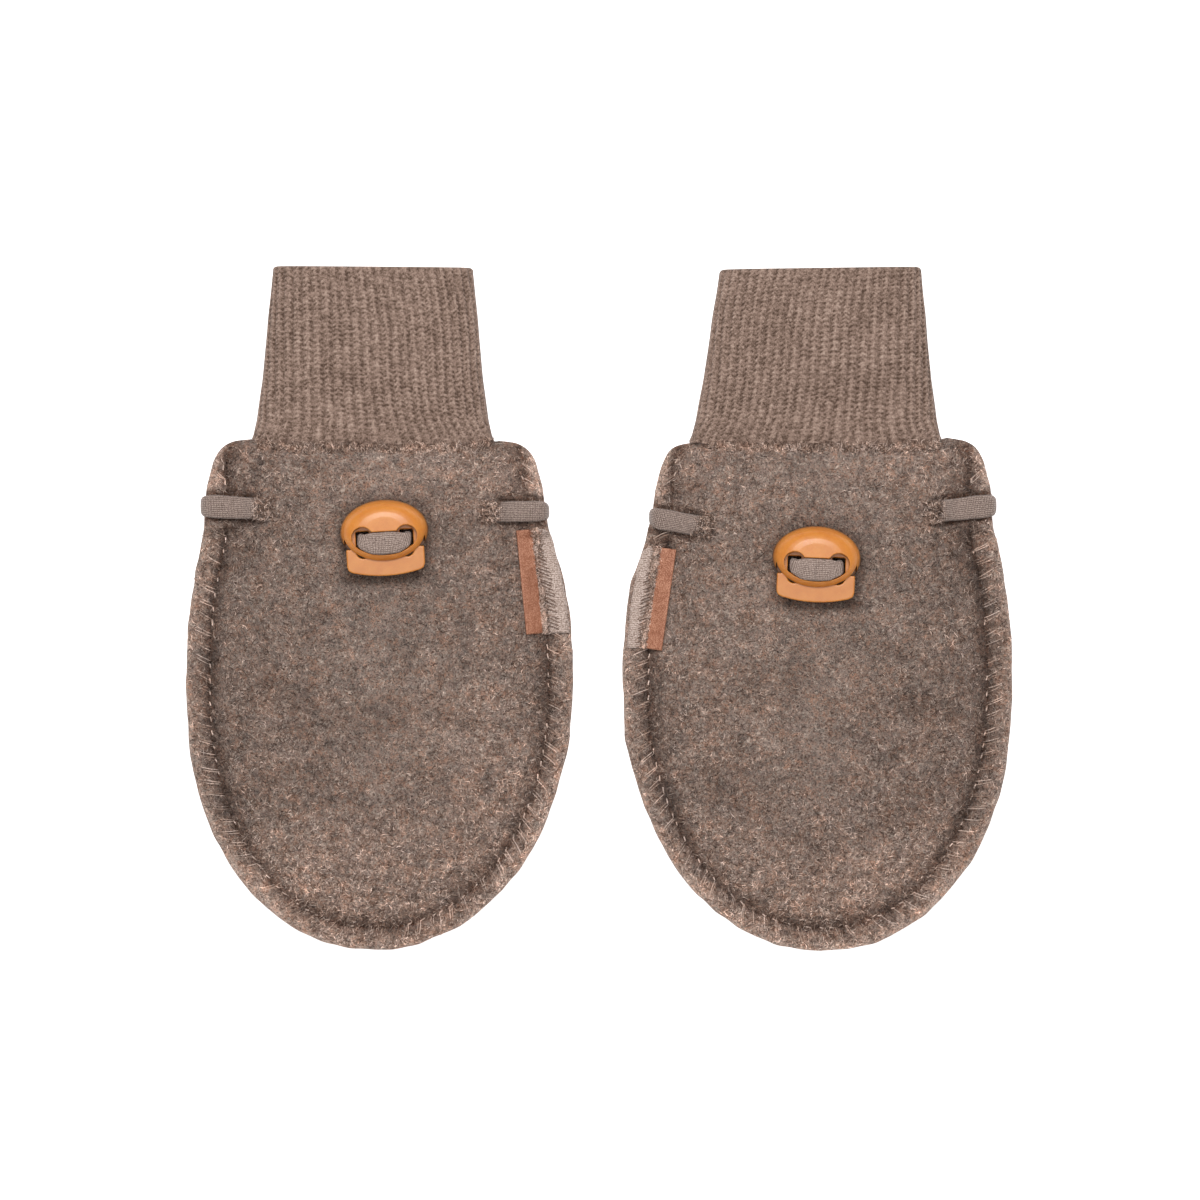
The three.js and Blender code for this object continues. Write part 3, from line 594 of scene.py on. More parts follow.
def panel(name, cloth, heights, columns, over_cuff):
    """One cut of wool: its upper face, its underside and a rounded edge between them"""
    count = len(cloth.edge)
    points = []
    grids = []
    places = []
    for height, face in zip(heights, columns):
        insets = panel_columns(cloth, face)
        plan = cloth.edge[:, None] + cloth.inward[:, None] * insets[..., None]
        z = height(plan[..., 0], plan[..., 1])
        fade = 1 - ease(insets, 0, 4)
        shift = cloth.outward[:, None] * (cloth.wave[:, None] * fade)[..., None]
        if over_cuff:
            shift[..., 1] += cloth.neck_shift(plan[..., 0], plan[..., 1])
        index = np.arange(insets.size).reshape(insets.shape) + sum(len(p) for p in points)
        half = count // 2 + 1
        index[half:, -1] = index[:count // 2, -1][::-1]
        points.append(np.concatenate([plan + shift, z[..., None]], axis=-1).reshape(-1, 3))
        grids.append(index)
        places.append(plan.reshape(-1, 2))
    upper, lower = grids
    flat = np.vstack(points)
    rim = (flat[upper[:, 0]] + flat[lower[:, 0]]) / 2
    rim[:, :2] += cloth.outward * EDGE_BULGE
    rim_index = len(flat) + np.arange(count)
    flat = np.vstack([flat, rim])
    chain_top = np.r_[upper[0], upper[-1][::-1][1:]]
    chain_low = np.r_[rim_index[0], lower[0], lower[-1][::-1][1:], rim_index[-1]]
    neck = zipped(chain_top, chain_low, -flat[chain_top, 0], -flat[chain_low, 0])
    wall = np.stack([upper[:, 0], rim_index, lower[:, 0]], axis=1)
    plan = np.vstack([*places, cloth.edge])
    # Painted shade: hollow darkens the front along its seam, straps, lock and dents, and the back evenly by
    # BACK_SHADE; pale carries painted light and paler patches.
    shade = cloth.hollow(plan[:, 0], plan[:, 1]) if over_cuff else np.full(len(plan), BACK_SHADE)
    attributes = {"hollow": shade, "pale": cloth.pale(plan[:, 0], plan[:, 1])}
    faces = [grid_quads(upper), grid_quads(lower[:, ::-1]), grid_quads(wall[:, ::-1]), neck]
    return mesh_piece(name, flat, faces, cloth.mitten["side"], attributes, tidy=True)


def spindles(name, side, paths, radius, tone, pale):
    """Many short fibres, each closed and three-sided, through its own few points"""
    count, stations = paths.shape[:2]
    direction = paths[:, -1] - paths[:, 0]
    direction /= np.linalg.norm(direction, axis=1)[:, None]
    across = np.cross(direction, [0, 0, 1.0])
    across /= np.linalg.norm(across, axis=1)[:, None]
    out = np.cross(across, direction)
    points = [paths[:, 0]]
    for step in range(1, stations - 1):
        for k in range(3):
            angle = 2 * math.pi * k / 3
            offset = across * math.cos(angle) + out * math.sin(angle)
            points.append(paths[:, step] + offset * radius[:, None])
    points.append(paths[:, -1])
    size = len(points)
    flat = np.stack(points, axis=1).reshape(-1, 3)
    first = size * np.arange(count)[:, None]
    last_ring = 1 + 3 * (stations - 3)
    tips = []
    quads = []
    for k in range(3):
        m = (k + 1) % 3
        tips.append(np.hstack([first, first + 1 + m, first + 1 + k]))
        tips.append(np.hstack([first + size - 1, first + last_ring + k, first + last_ring + m]))
        for ring in range(1, last_ring, 3):
            low = first + ring
            quads.append(np.hstack([low + k, low + m, low + 3 + m, low + 3 + k]))
    faces = [np.vstack(tips), np.vstack(quads) if quads else []]
    attributes = {"tone": np.repeat(tone, size), "pale": np.repeat(pale, size)}
    return mesh_piece(name, flat, faces, side, attributes)


def tubes(name, side, paths, radius, tone, sides=5):
    """Threads: closed tubes through lists of points"""
    points = []
    quads = []
    tips = []
    tones = []
    start = 0
    reference = np.array([0.3, 0.3, 0.9])
    for path, shade in zip(paths, tone):
        tangent = np.gradient(path, axis=0)
        tangent /= np.linalg.norm(tangent, axis=1)[:, None]
        across = reference - np.sum(tangent * reference, axis=1)[:, None] * tangent
        across /= np.linalg.norm(across, axis=1)[:, None]
        out = np.cross(tangent, across)
        angle = 2 * math.pi * np.arange(sides) / sides
        ring = across[:, None] * np.cos(angle)[:, None] + out[:, None] * np.sin(angle)[:, None]
        points.append((path[:, None] + ring * radius).reshape(-1, 3))
        points.append(path[[0, -1]])
        index = start + np.arange(len(path) * sides).reshape(len(path), sides)
        quads.append(grid_quads(index, endless_columns=True))
        first, last = start + len(path) * sides, start + len(path) * sides + 1
        for k in range(sides):
            m = (k + 1) % sides
            tips += [(first, index[0, k], index[0, m]), (last, index[-1, m], index[-1, k])]
        size = len(path) * sides + 2
        tones.append(np.full(size, shade))
        start += size
    attributes = {"tone": np.concatenate(tones)}
    return mesh_piece(name, np.vstack(points), [np.vstack(quads), tips], side, attributes, tidy=True)


def cuff_section(half, height, base):
    """Points over the top of a slice of the cuff, evenly spaced, and how far along it they lie"""
    angle = np.linspace(-math.pi / 2, math.pi / 2, 801)
    u = np.sign(angle) * np.abs(np.sin(angle)) ** 0.4
    z = base + height / 2 * (1 + np.cos(angle))
    line = resampled(np.stack([u * half, z], axis=1), CUFF_COLUMNS)
    length = np.linalg.norm(np.diff(line, axis=0), axis=1).sum()
    return line, np.linspace(-length / 2, length / 2, CUFF_COLUMNS)


def rib_place(along, y):
    """Which rib lies at a distance along a slice: downwards, the ribs drift to the inner side"""
    down = np.clip((TOP_Y - y) / (TOP_Y - NECK_Y), 0, 1.1)
    drift = RIB_DRIFT * (down + 0.1 * np.sin(2 * math.pi * down))
    here = along / (1 + 0.07 * (1 - ease(y, NECK_Y, NECK_Y + 5)))
    start = here
    for _ in range(3):
        start = here + drift * np.clip((17 - start) / 19, 0, 1) ** 0.8
    return start / RIB_PITCH


def rib_relief(along, y, seed, amount):
    """Height of the knit over one slice, and a lightness from 0 in the grooves to 1 on the ribs: painted shade in
    the grooves and between stitches, painted highlights on the stitches, and an uneven tone
    """
    place = rib_place(along, y)
    place = place + 0.07 * noise(place, y / 7, 1.0, seed)
    rib_number = np.floor(place)
    phase = place - rib_number
    groove = bell(np.minimum(phase, 1 - phase), 0.15)
    row = y / STITCH_PITCH + 0.5 * np.abs(2 * phase - 1) + 0.5 * noise(rib_number * 7, y / 4, 1.0, seed + 1)
    stitch = 0.5 + 0.5 * np.cos(2 * math.pi * row)
    between = (1 - stitch) ** 1.5 * np.clip(0.75 + 0.4 * noise(place, y / 1.6, 1.0, seed + 3), 0.15, 1.2)
    tooth = bell(phase - 0.2, 0.13) * between
    dot = bell(phase - 0.7, 0.11) * between
    uneven = noise(place * 4, y * 2.4, 1.0, seed + 2)
    height = RIB_HEIGHT * (1 - groove) + 0.07 * stitch - 0.2 * tooth - 0.16 * dot + 0.05 * uneven
    # Painted light and shade of the knit: dark in the grooves and stitch gaps, light on the stitches, with an
    # uneven tone at random.
    light = 0.7 - 0.27 * groove - 0.65 * tooth - 0.55 * dot + 0.14 * stitch + 0.3 * uneven
    return (height - 0.12) * amount, np.clip(light, 0, 1)


def cuff_ring(mitten, y, half, height, base, amount, tuck=0.0):
    """A slice of the cuff with its ribs raised, and the flat underneath"""
    line, along = cuff_section(half, height, base)
    across = np.clip(np.abs(line[:, 0]) / half, 0, 1)
    over = ease(line[:, 1] - base, 0.5 * height, 0.85 * height)
    ys = y - tuck * np.maximum((1 - across**4) * over, 0.25)
    relief, light = rib_relief(along, ys, mitten["seed"] + 20, amount)
    tangent = np.gradient(line, axis=0)
    tangent /= np.linalg.norm(tangent, axis=1)[:, None]
    normal = np.stack([-tangent[:, 1], tangent[:, 0]], axis=1)
    sideways = 0.42 * amount * np.abs(normal[:, 0])
    top = line + normal * (relief - sideways)[:, None]
    radius = height / 2
    flat = half - radius
    under = []
    for share in (1, 0.87, 0.6, 0.3, 0):
        angle = math.radians(90 * (1 - share))
        under.append((flat + radius * math.cos(angle), base + radius * (1 - math.sin(angle))))
    under = under[1:] + [(flat * k, base) for k in (0.5, 0, -0.5)] + [(-x, z) for x, z in under[::-1][:-1]]
    ring = np.vstack([top, under])
    up = np.clip((y - CUFF_ROWS[0]["y"]) / (TOP_Y - CUFF_ROWS[0]["y"]), 0, 1)
    shift = np.interp(up, [0, 1], mitten["cuff"]["shift"][::-1])
    opening = mitten["cuff"]["slope"] * ring[:, 0] / NECK_HALF - mitten["cuff"]["lower"]
    y_all = np.r_[ys, np.full(len(under), y)] + opening * ease(y, TOP_Y - 12, TOP_Y)
    points = np.stack([lean(NECK_Y) + shift + ring[:, 0], y_all, ring[:, 1]], axis=1)
    return points, np.r_[light, np.full(len(under), 0.5)]


def cuff(mitten):
    """The rib cuff: a tube folded double at the opening"""
    rings = []

    def half_at(y):
        up = (y - CUFF_ROWS[0]["y"]) / (TOP_Y - CUFF_ROWS[0]["y"])
        grow = np.interp(up, [0, 1], mitten["cuff"]["grow"][::-1])
        return np.interp(y, column(CUFF_ROWS, "y"), column(CUFF_ROWS, "half")) + grow

    for y in np.arange(CUFF_ROWS[0]["y"], FOLD_Y, STITCH_PITCH / 4):
        sunk = 1 - ease(y, NECK_Y, NECK_Y + 3.4)
        wave = 0.10 * noise(np.array(y), np.array(0.0), 6, mitten["seed"])
        height = CUFF_HEIGHT - NECK_SINK * sunk
        tuck = CUFF_TUCK * (1 - ease(y, NECK_Y, NECK_Y + 5))
        rings.append(cuff_ring(mitten, y, half_at(y) + wave, height, 0, 1 - 0.4 * sunk, tuck))
    for angle in np.linspace(0, 180, 9)[1:]:
        turn = math.radians(angle)
        shrink = CUFF_WALL / 2 * (1 - math.cos(turn))
        y = FOLD_Y + 0.85 * math.sin(turn)
        amount = 1 - ease(angle, 60, 150)
        rings.append(cuff_ring(mitten, y, half_at(FOLD_Y) - shrink, CUFF_HEIGHT - 2 * shrink, shrink, amount))
    hollow = CUFF_HEIGHT - 2 * CUFF_WALL
    for y in (66, 58, 50, 42, CUFF_ROWS[0]["y"]):
        rings.append(cuff_ring(mitten, y, half_at(y) - CUFF_WALL, hollow, CUFF_WALL, 0.0))
    points = np.array([ring for ring, _ in rings])
    lights = np.array([light for _, light in rings])
    index = np.arange(points.shape[0] * points.shape[1]).reshape(points.shape[:2])
    faces = [grid_quads(index, True, True)]
    name = mitten["name"] + "_rib_cuff"
    # The relief attribute holds the knit's painted light and shade, not its height.
    return mesh_piece(name, points.reshape(-1, 3), faces, mitten["side"], {"relief": lights}, tidy=True)


def lock_place(lock, a, b):
    """A place on the lock, a along it and b towards the cuff"""
    tilt = math.radians(lock["tilt"])
    x = lock["across"] + a * math.cos(tilt) + b * math.sin(tilt)
    y = lock["up"] - a * math.sin(tilt) + b * math.cos(tilt)
    return x, y


def strap_stations(mitten, cloth):
    """The drawstring's closed route, the same as the frame's: x, y, z and width"""
    lock = mitten["lock"]
    saddle = LOCK_BASE + BOWL_FLOOR + SEAM_GAP + HALF_STRAP

    def top(x, y):
        base = cloth.front_underside(np.array([x]), np.array([y]))
        wool = WOOL - (WOOL - PINCHED_WOOL) * cloth.pinch(np.array([x]), np.array([y]))
        return float(base[0] + wool[0])

    def half(direction):
        strap = mitten["outer"] if direction > 0 else mitten["inner"]
        hole_y, edge_y = strap["hole"], strap["edge"]
        edge = direction * float(body_half(edge_y)) + float(lean(edge_y))
        reach = OUTER_REACH if direction > 0 else INNER_REACH - mitten["inner_edge"] + 0.3
        hx, hy = lock_place(lock, direction * LOCK_HOLE_OFFSET, STRAP_UP_IN_HOLE)
        ox, oy = lock_place(lock, direction * 2.5, STRAP_UP_IN_BOWL)
        far = edge - direction * 15.5
        rows = [
            (ox, oy + 0.1, saddle, STRAP_IN_BOWL - 0.2),
            (hx + direction * 0.05, hy - 0.45, saddle - 0.45, STRAP_NARROW - 0.2),
            (hx + direction * 0.15, hy + 0.05, LOCK_BASE + 4.2, STRAP_IN_BUTTON),
            (hx + direction * 0.15, hy + 0.05, LOCK_BASE + 1.4, STRAP_IN_BUTTON),
            (hx + direction * 0.3, hy, LOCK_BASE - 1.2, STRAP_NARROW),
            (hx + direction * 1.6, hy + 0.2, UNDER_FRONT - 0.1, STRAP_NARROW + 0.3),
            (hx + direction * 4.2, hy + 0.6, UNDER_FRONT, STRAP_INSIDE),
            ((hx + far) / 2 + direction * 2, (hy + hole_y) / 2, UNDER_FRONT, STRAP_INSIDE),
            (far, hole_y, UNDER_FRONT - 0.15, STRAP_INSIDE),
            (edge - direction * 12.6, hole_y, UNDER_FRONT + 0.9, STRAP_AT_HOLE),
        ]
        wide = STRAP_WIDTH if direction > 0 else STRAP_AT_HOLE + 0.1

        def middle(back):
            return hole_y + (edge_y - hole_y) * (1 - back / 12)

        for back in (10, 7.6, 4.6, 2.2):
            x, y = edge - direction * back, middle(back)
            width = wide + (STRAP_AT_HOLE - wide) * back / 12
            rows.append((x, y, top(x, y) + STRAP_CLEAR + HALF_STRAP, width))
        turn = edge + direction * (reach - HALF_STRAP)
        upper = top(edge - direction * 0.5, edge_y) + SEAM_GAP + HALF_STRAP
        lower = STRAP_REST + HALF_STRAP
        rows.append((turn - direction * 0.45, edge_y, upper - 0.75, wide - 0.5))
        rows.append((turn, edge_y, (upper + lower) / 2, wide - 1.3))
        rows.append((turn - direction * 0.45, edge_y, lower + 0.75, wide - 0.5))
        for back in (2.2, 6, 9.4):
            rows.append((edge - direction * back, middle(back), lower, STRAP_WIDTH))
        rows.append((edge - direction * 12.2, hole_y, lower + 0.95, STRAP_INSIDE))
        rows.append((edge - direction * 15.5, hole_y, OVER_BACK, STRAP_INSIDE))
        rows.append((edge - direction * 20, (hole_y + lock["up"]) / 2, OVER_BACK, STRAP_INSIDE))
        return rows

    sx, sy = lock_place(lock, 0, STRAP_UP_IN_BOWL)
    back_y = (mitten["outer"]["hole"] + mitten["inner"]["hole"]) / 2
    across_back = [(x + float(lean(lock["up"])), back_y, OVER_BACK, STRAP_INSIDE) for x in (10, 0, -10)]
    return np.array([(sx, sy, saddle + 0.1, STRAP_IN_BOWL), *half(1), *across_back, *half(-1)[::-1]])


def closed_curve(stations, steps):
    """A centripetal curve through a closed list of points, sampled evenly between them"""
    count = len(stations)
    samples = []
    for k in range(steps):
        place = k * count / steps
        i = int(place)
        t = place - i
        p0, p1, p2, p3 = (stations[(i + j) % count] for j in (-1, 0, 1, 2))
        d0, d1, d2 = (math.sqrt(np.linalg.norm(b[:3] - a[:3])) for a, b in ((p0, p1), (p1, p2), (p2, p3)))
        m1 = ((p1 - p0) / d0 - (p2 - p0) / (d0 + d1) + (p2 - p1) / d1) * d1
        m2 = ((p2 - p1) / d1 - (p3 - p1) / (d1 + d2) + (p3 - p2) / d2) * d1
        curve = (2 * t**3 - 3 * t**2 + 1) * p1 + (t**3 - 2 * t**2 + t) * m1
        curve += (3 * t**2 - 2 * t**3) * p2 + (t**3 - t**2) * m2
        curve[3] = p1[3] + t * (p2[3] - p1[3])
        samples.append(curve)
    return np.array(samples)


def drawstring(mitten, cloth):
    """A flat tube of jersey along its closed route"""
    path = closed_curve(strap_stations(mitten, cloth), 380)
    centre, width = path[:, :3], path[:, 3]
    ahead = np.roll(centre, -1, axis=0) - np.roll(centre, 1, axis=0)
    ahead /= np.linalg.norm(ahead, axis=1)[:, None]
    across = np.array([0, 1.0, 0]) - ahead[:, 1:2] * ahead
    across /= np.linalg.norm(across, axis=1)[:, None]
    out = np.cross(ahead, across)
    sides = 20
    angle = 2 * math.pi * np.arange(sides) / sides
    wide = np.sign(np.cos(angle)) * np.abs(np.cos(angle)) ** 0.62
    thick = np.sign(np.sin(angle)) * np.abs(np.sin(angle)) ** 0.72
    along = np.r_[0, np.cumsum(np.linalg.norm(np.diff(centre, axis=0), axis=1))]
    uneven = 0.05 * noise(along[:, None], angle[None] * 2, 1.6, mitten["seed"] + 8)
    half = width[:, None] / 2 + uneven
    points = centre[:, None] + across[:, None] * (half * wide)[..., None]
    points = points + out[:, None] * ((HALF_STRAP + uneven) * thick)[..., None]
    index = np.arange(points.shape[0] * sides).reshape(-1, sides)
    round_it = np.cumsum(np.r_[0, np.hypot(np.diff(wide) * 2.4, np.diff(thick) * 0.8)])
    uv = np.stack(np.broadcast_arrays(along[:, None], round_it[None]), axis=-1).reshape(-1, 2)
    faces = [grid_quads(index, True, True)]
    name = mitten["name"] + "_jersey_drawstring"
    # Painted light: the cord is made lighter where it lies high over the lock's bowl.
    pale = 0.2 * ease(points[..., 2], LOCK_BASE + 4, LOCK_BASE + 5)
    return mesh_piece(name, points.reshape(-1, 3), faces, mitten["side"], {"pale": pale}, uv=uv, tidy=True)


def ring_solid(name, rings):
    """A closed solid from rings of points, capped at both ends, in a lock's own millimetres"""
    rings = np.array(rings)
    index = np.arange(rings.shape[0] * rings.shape[1]).reshape(rings.shape[:2])
    mesh = bpy.data.meshes.new(name)
    faces = grid_quads(index, endless_columns=True).tolist()
    faces += [index[0][::-1].tolist(), index[-1].tolist()]
    mesh.from_pydata(rings.reshape(-1, 3).tolist(), [], faces)
    work = bmesh.new()
    work.from_mesh(mesh)
    bmesh.ops.recalc_face_normals(work, faces=work.faces)
    work.to_mesh(mesh)
    work.free()
    piece = bpy.data.objects.new(name, mesh)
    bpy.context.scene.collection.objects.link(piece)
    return piece


def prism(name, outline, low, high):
    return ring_solid(name, [[(x, y, z) for x, y in outline] for z in (low, high)])


def circle(x, y, rx, ry, count, start=0.0, end=2 * math.pi):
    angle = np.linspace(start, end, count)
    return [(x + rx * math.cos(a), y + ry * math.sin(a)) for a in angle]


def moulded(body, cutters, voxel, passes, share):
    """Cuts a solid and rounds all of its edges, as a mould does"""
    for cutter in cutters:
        cut = body.modifiers.new("cut", "BOOLEAN")
        cut.operation = "DIFFERENCE"
        cut.solver = "EXACT"
        cut.object = cutter
    remesh = body.modifiers.new("even", "REMESH")
    remesh.mode = "VOXEL"
    remesh.voxel_size = voxel
    remesh.use_smooth_shade = True
    soften = body.modifiers.new("soften", "SMOOTH")
    soften.factor = 0.5
    soften.iterations = passes
    thin = body.modifiers.new("thin", "DECIMATE")
    thin.ratio = share
    depsgraph = bpy.context.evaluated_depsgraph_get()
    mesh = bpy.data.meshes.new_from_object(body.evaluated_get(depsgraph))
    for cutter in cutters:
        bpy.data.objects.remove(cutter)
    body.modifiers.clear()
    body.data = mesh
    return body


def tongue(side, upper, foot):
    """Outline of the button: a narrow tongue inside the body and a wide end outside"""
    narrow, wide, tip = 6.9 + side, BUTTON_WIDTH / 2 + side, 4.4 + side
    shoulder, corner = -3.4 + upper, -8.1 - foot
    half = [(0, 1.6 + upper), (tip, 1.6 + upper), (narrow, upper), (narrow, shoulder), (wide, shoulder)]
    half += [(wide, corner + 1.2), (wide - 0.3, corner + 0.35), (wide - 1.1, corner - 0.1)]
    half += [(x, corner - 1 + 0.9 * (x / (wide - 1.1)) ** 2) for x in (5, 3.2, 1.6, 0)]
    return half + [(-x, y) for x, y in half[::-1][1:-1]]


def on_lock(piece, mitten, name, pale=0.0):
    """Moves a solid made in the lock's own millimetres to its place on the mitten"""
    mesh = piece.data
    count = len(mesh.vertices)
    own = np.empty(count * 3, np.float32)
    mesh.vertices.foreach_get("co", own)
    own = own.reshape(-1, 3).astype(float)
    x, y = lock_place(mitten["lock"], own[:, 0], own[:, 1])
    placed = place_on(mitten["side"], np.stack([x, y, own[:, 2] + LOCK_BASE], axis=1))
    mesh.vertices.foreach_set("co", (placed * MM).astype(np.float32).ravel())
    if mitten["side"] < 0:
        mesh.flip_normals()
    mesh.polygons.foreach_set("use_smooth", np.ones(len(mesh.polygons), bool))
    mesh.attributes.new("pale", "FLOAT", "POINT").data.foreach_set("value", np.full(count, pale, np.float32))
    mesh.update()
    piece.name = name
    mesh.name = name
    return piece


def lock_body(mitten):
    """The oval body, domed, with a slot, two cord holes and a bowl that the cord crosses"""
    radius = LOCK_WIDTH / 2
    profile = [
        (0.90, 0.0), (0.955, 0.25), (0.985, 0.7), (1.0, 1.5), (0.995, 2.5), (0.98, 3.4), (0.955, 4.2),
        (0.92, 4.9), (0.87, 5.5), (0.80, 6.05), (0.71, 6.5), (0.60, 6.82), (0.45, 7.0), (0.25, 7.0),
    ]
    squash = LOCK_DEPTH / LOCK_WIDTH
    rings = [
        [(x, y, z) for x, y in circle(0, 0, r * radius, r * radius * squash, 97)[:-1]]
        for r, z in profile
    ]
    body = ring_solid("lock", rings)
    slot = prism("slot", tongue(SEAM_GAP, BUTTON_TRAVEL + SEAM_GAP, 3), SLOT_FLOOR, SLOT_TOP)
    holes = [
        prism("hole", circle(d * LOCK_HOLE_OFFSET, HOLE_UP, LOCK_HOLE_RADIUS, LOCK_HOLE_RADIUS, 41)[:-1],
              -1, 11)
        for d in (-1, 1)
    ]
    bowl = circle(0, HOLE_UP, BOWL_HALF, BOWL_DROP, 41, math.pi, 2 * math.pi)
    bowl += [(LOCK_HOLE_OFFSET, HOLE_UP), (LOCK_HOLE_OFFSET, SADDLE_UP)]
    bowl += [(-LOCK_HOLE_OFFSET, SADDLE_UP), (-LOCK_HOLE_OFFSET, HOLE_UP)]
    cutters = [slot, *holes, prism("bowl", bowl, BOWL_FLOOR, 11)]
    return on_lock(moulded(body, cutters, 0.14, 5, 0.35), mitten, mitten["name"] + "_moulded_lock")


def lock_button(mitten):
    """The button, with two holes that are longer than the strap by its travel"""
    slab = prism("button", tongue(0, 0, 0), SLOT_FLOOR + SEAM_GAP, SLOT_TOP - SEAM_GAP)
    top = STRAP_UP_IN_HOLE + STRAP_NARROW / 2 + 0.1
    foot = STRAP_UP_IN_HOLE - STRAP_NARROW / 2 - BUTTON_TRAVEL
    round_end = 1.35
    holes = []
    for d in (-1, 1):
        x = d * LOCK_HOLE_OFFSET
        outline = circle(x, foot + round_end, round_end, round_end, 17, math.pi, 2 * math.pi)
        outline += [(x + round_end, top), (x - round_end, top)]
        holes.append(prism("hole", outline, -1, 11))
    # A negative pale gives the button painted shade, darker than the lock's body.
    return on_lock(moulded(slab, holes, 0.14, 4, 0.3), mitten, mitten["name"] + "_push_button", -0.12)


def strip(name, mitten, cloth, from_line, to_line, thickness, lift, attributes=None):
    """A strip that lies on the wool between two lines of points, with soft edges"""
    rows, columns = len(from_line), 17
    t = np.linspace(0, 1, columns)
    plan = from_line[:, None] + (to_line - from_line)[:, None] * t[None, :, None]
    base = cloth.front_top(plan[..., 0], plan[..., 1])
    straight = base[:, :1] + (base[:, -1:] - base[:, :1]) * t
    smooth = np.maximum(base, straight)
    kernel = np.array([1, 4, 6, 4, 1]) / 16
    padded = np.pad(smooth, ((2, 2), (0, 0)), mode="edge")
    smooth = sum(kernel[k] * padded[k:k + rows] for k in range(5))
    width = np.linalg.norm(to_line - from_line, axis=1)[:, None]
    from_side = np.minimum(t, 1 - t) * width
    length = np.linalg.norm(np.diff(from_line, axis=0), axis=1).sum()
    from_end = np.minimum(np.linspace(0, 1, rows), np.linspace(1, 0, rows))[:, None] * length
    soft = 0.3
    corner = soft - np.minimum(from_side, from_end)
    drop = soft - np.sqrt(np.clip(soft**2 - np.clip(corner, 0, soft) ** 2, 0, None))
    upper = smooth + lift + thickness - drop
    lower = smooth + lift
    points = np.concatenate([
        np.concatenate([plan, upper[..., None]], axis=-1).reshape(-1, 3),
        np.concatenate([plan, lower[..., None]], axis=-1).reshape(-1, 3),
    ])
    top = np.arange(rows * columns).reshape(rows, columns)
    low = top + rows * columns
    loop = np.r_[top[0], top[1:, -1], top[-1, ::-1][1:], top[::-1, 0][1:-1]]
    wall = np.stack([loop, loop + rows * columns], axis=0)
    faces = [grid_quads(top), grid_quads(low[:, ::-1]), grid_quads(wall, endless_columns=True)]
    length_at = np.broadcast_to(np.linspace(0, length, rows)[:, None], (rows, columns))
    uv = np.stack([length_at, np.broadcast_to(t * width, (rows, columns))], axis=-1).reshape(-1, 2)
    return mesh_piece(name, points, faces, mitten["side"], attributes, uv=np.vstack([uv, uv]), tidy=True)


def label_lines(mitten):
    """The label's outer and inner long edges, and the tape's outer one"""
    top, foot = np.array(mitten["label"]["top"]), np.array(mitten["label"]["foot"])
    along = (foot - top) / np.linalg.norm(foot - top)
    across = np.array([-along[1], along[0]]) * (-LABEL_WIDTH / 2)
    line = top + (foot - top) * np.linspace(0, 1, 110)[:, None]
    outer, inner = line + across, line - across
    tape_inner = outer - [LABEL_GAP, 0]
    from_top = np.clip(np.linalg.norm(line - top, axis=1) / TAPE_CORNER, 0, 1)
    corner = TAPE_CORNER * (1 - np.sqrt(1 - (1 - from_top) ** 2))
    rim = lean(line[:, 1]) - body_half(line[:, 1]) + 0.1 + corner
    tape_outer = np.stack([rim, tape_inner[:, 1]], axis=1)
    return outer, inner, tape_outer, tape_inner


def bent(start, middle, end):
    """Fibres of three points each"""
    return np.stack([start, middle, end], axis=1)


def fibres_on_wool(cloth, rng):
    """Curly fibres that lie nearly flat all over the front"""
    s = rng.uniform(0, cloth.along[-1], FRONT_FIBRES)
    reach = np.interp(s, cloth.along, cloth.reach)
    inset = reach * (1 - np.sqrt(1 - rng.uniform(0.01, 0.999, FRONT_FIBRES)))
    place, shift = cloth.at(s, inset)
    heading = rng.uniform(0, 2 * math.pi, FRONT_FIBRES)
    length = rng.gamma(3.0, 0.32, FRONT_FIBRES) + 0.6
    bend = rng.normal(0, 0.32, FRONT_FIBRES) * length
    ahead = np.stack([np.cos(heading), np.sin(heading)], axis=1) * length[:, None]
    aside = np.stack([-np.sin(heading), np.cos(heading)], axis=1) * bend[:, None]
    lift = rng.gamma(2.0, 0.06, FRONT_FIBRES) + 0.04
    points = []
    for plan, rise in ((place - ahead / 2, -0.05), (place + aside, lift), (place + ahead / 2, 0.04)):
        z = cloth.front_top(plan[:, 0], plan[:, 1]) + rise
        fallen = cloth.neck_shift(plan[:, 0], plan[:, 1])
        points.append(np.column_stack([plan[:, 0] + shift[:, 0], plan[:, 1] + shift[:, 1] + fallen, z]))
    path = bent(*points)
    wave = np.interp(s, cloth.along, cloth.wave)[:, None] + EDGE_FUZZ
    edge = body_half(path[..., 1]) + wave - np.abs(path[..., 0] - lean(path[..., 1]))
    radius = np.hypot(path[..., 0], (path[..., 1] - WIDEST_Y) * BODY_HALF_WIDTH / (TIP_Y - WIDEST_Y))
    outside = np.where(path[..., 1] > WIDEST_Y, edge < 0, radius > BODY_HALF_WIDTH + wave)
    keep = ~outside.any(axis=1) & (path[..., 1] < NECK_Y + 0.3).all(axis=1)
    return path[keep]


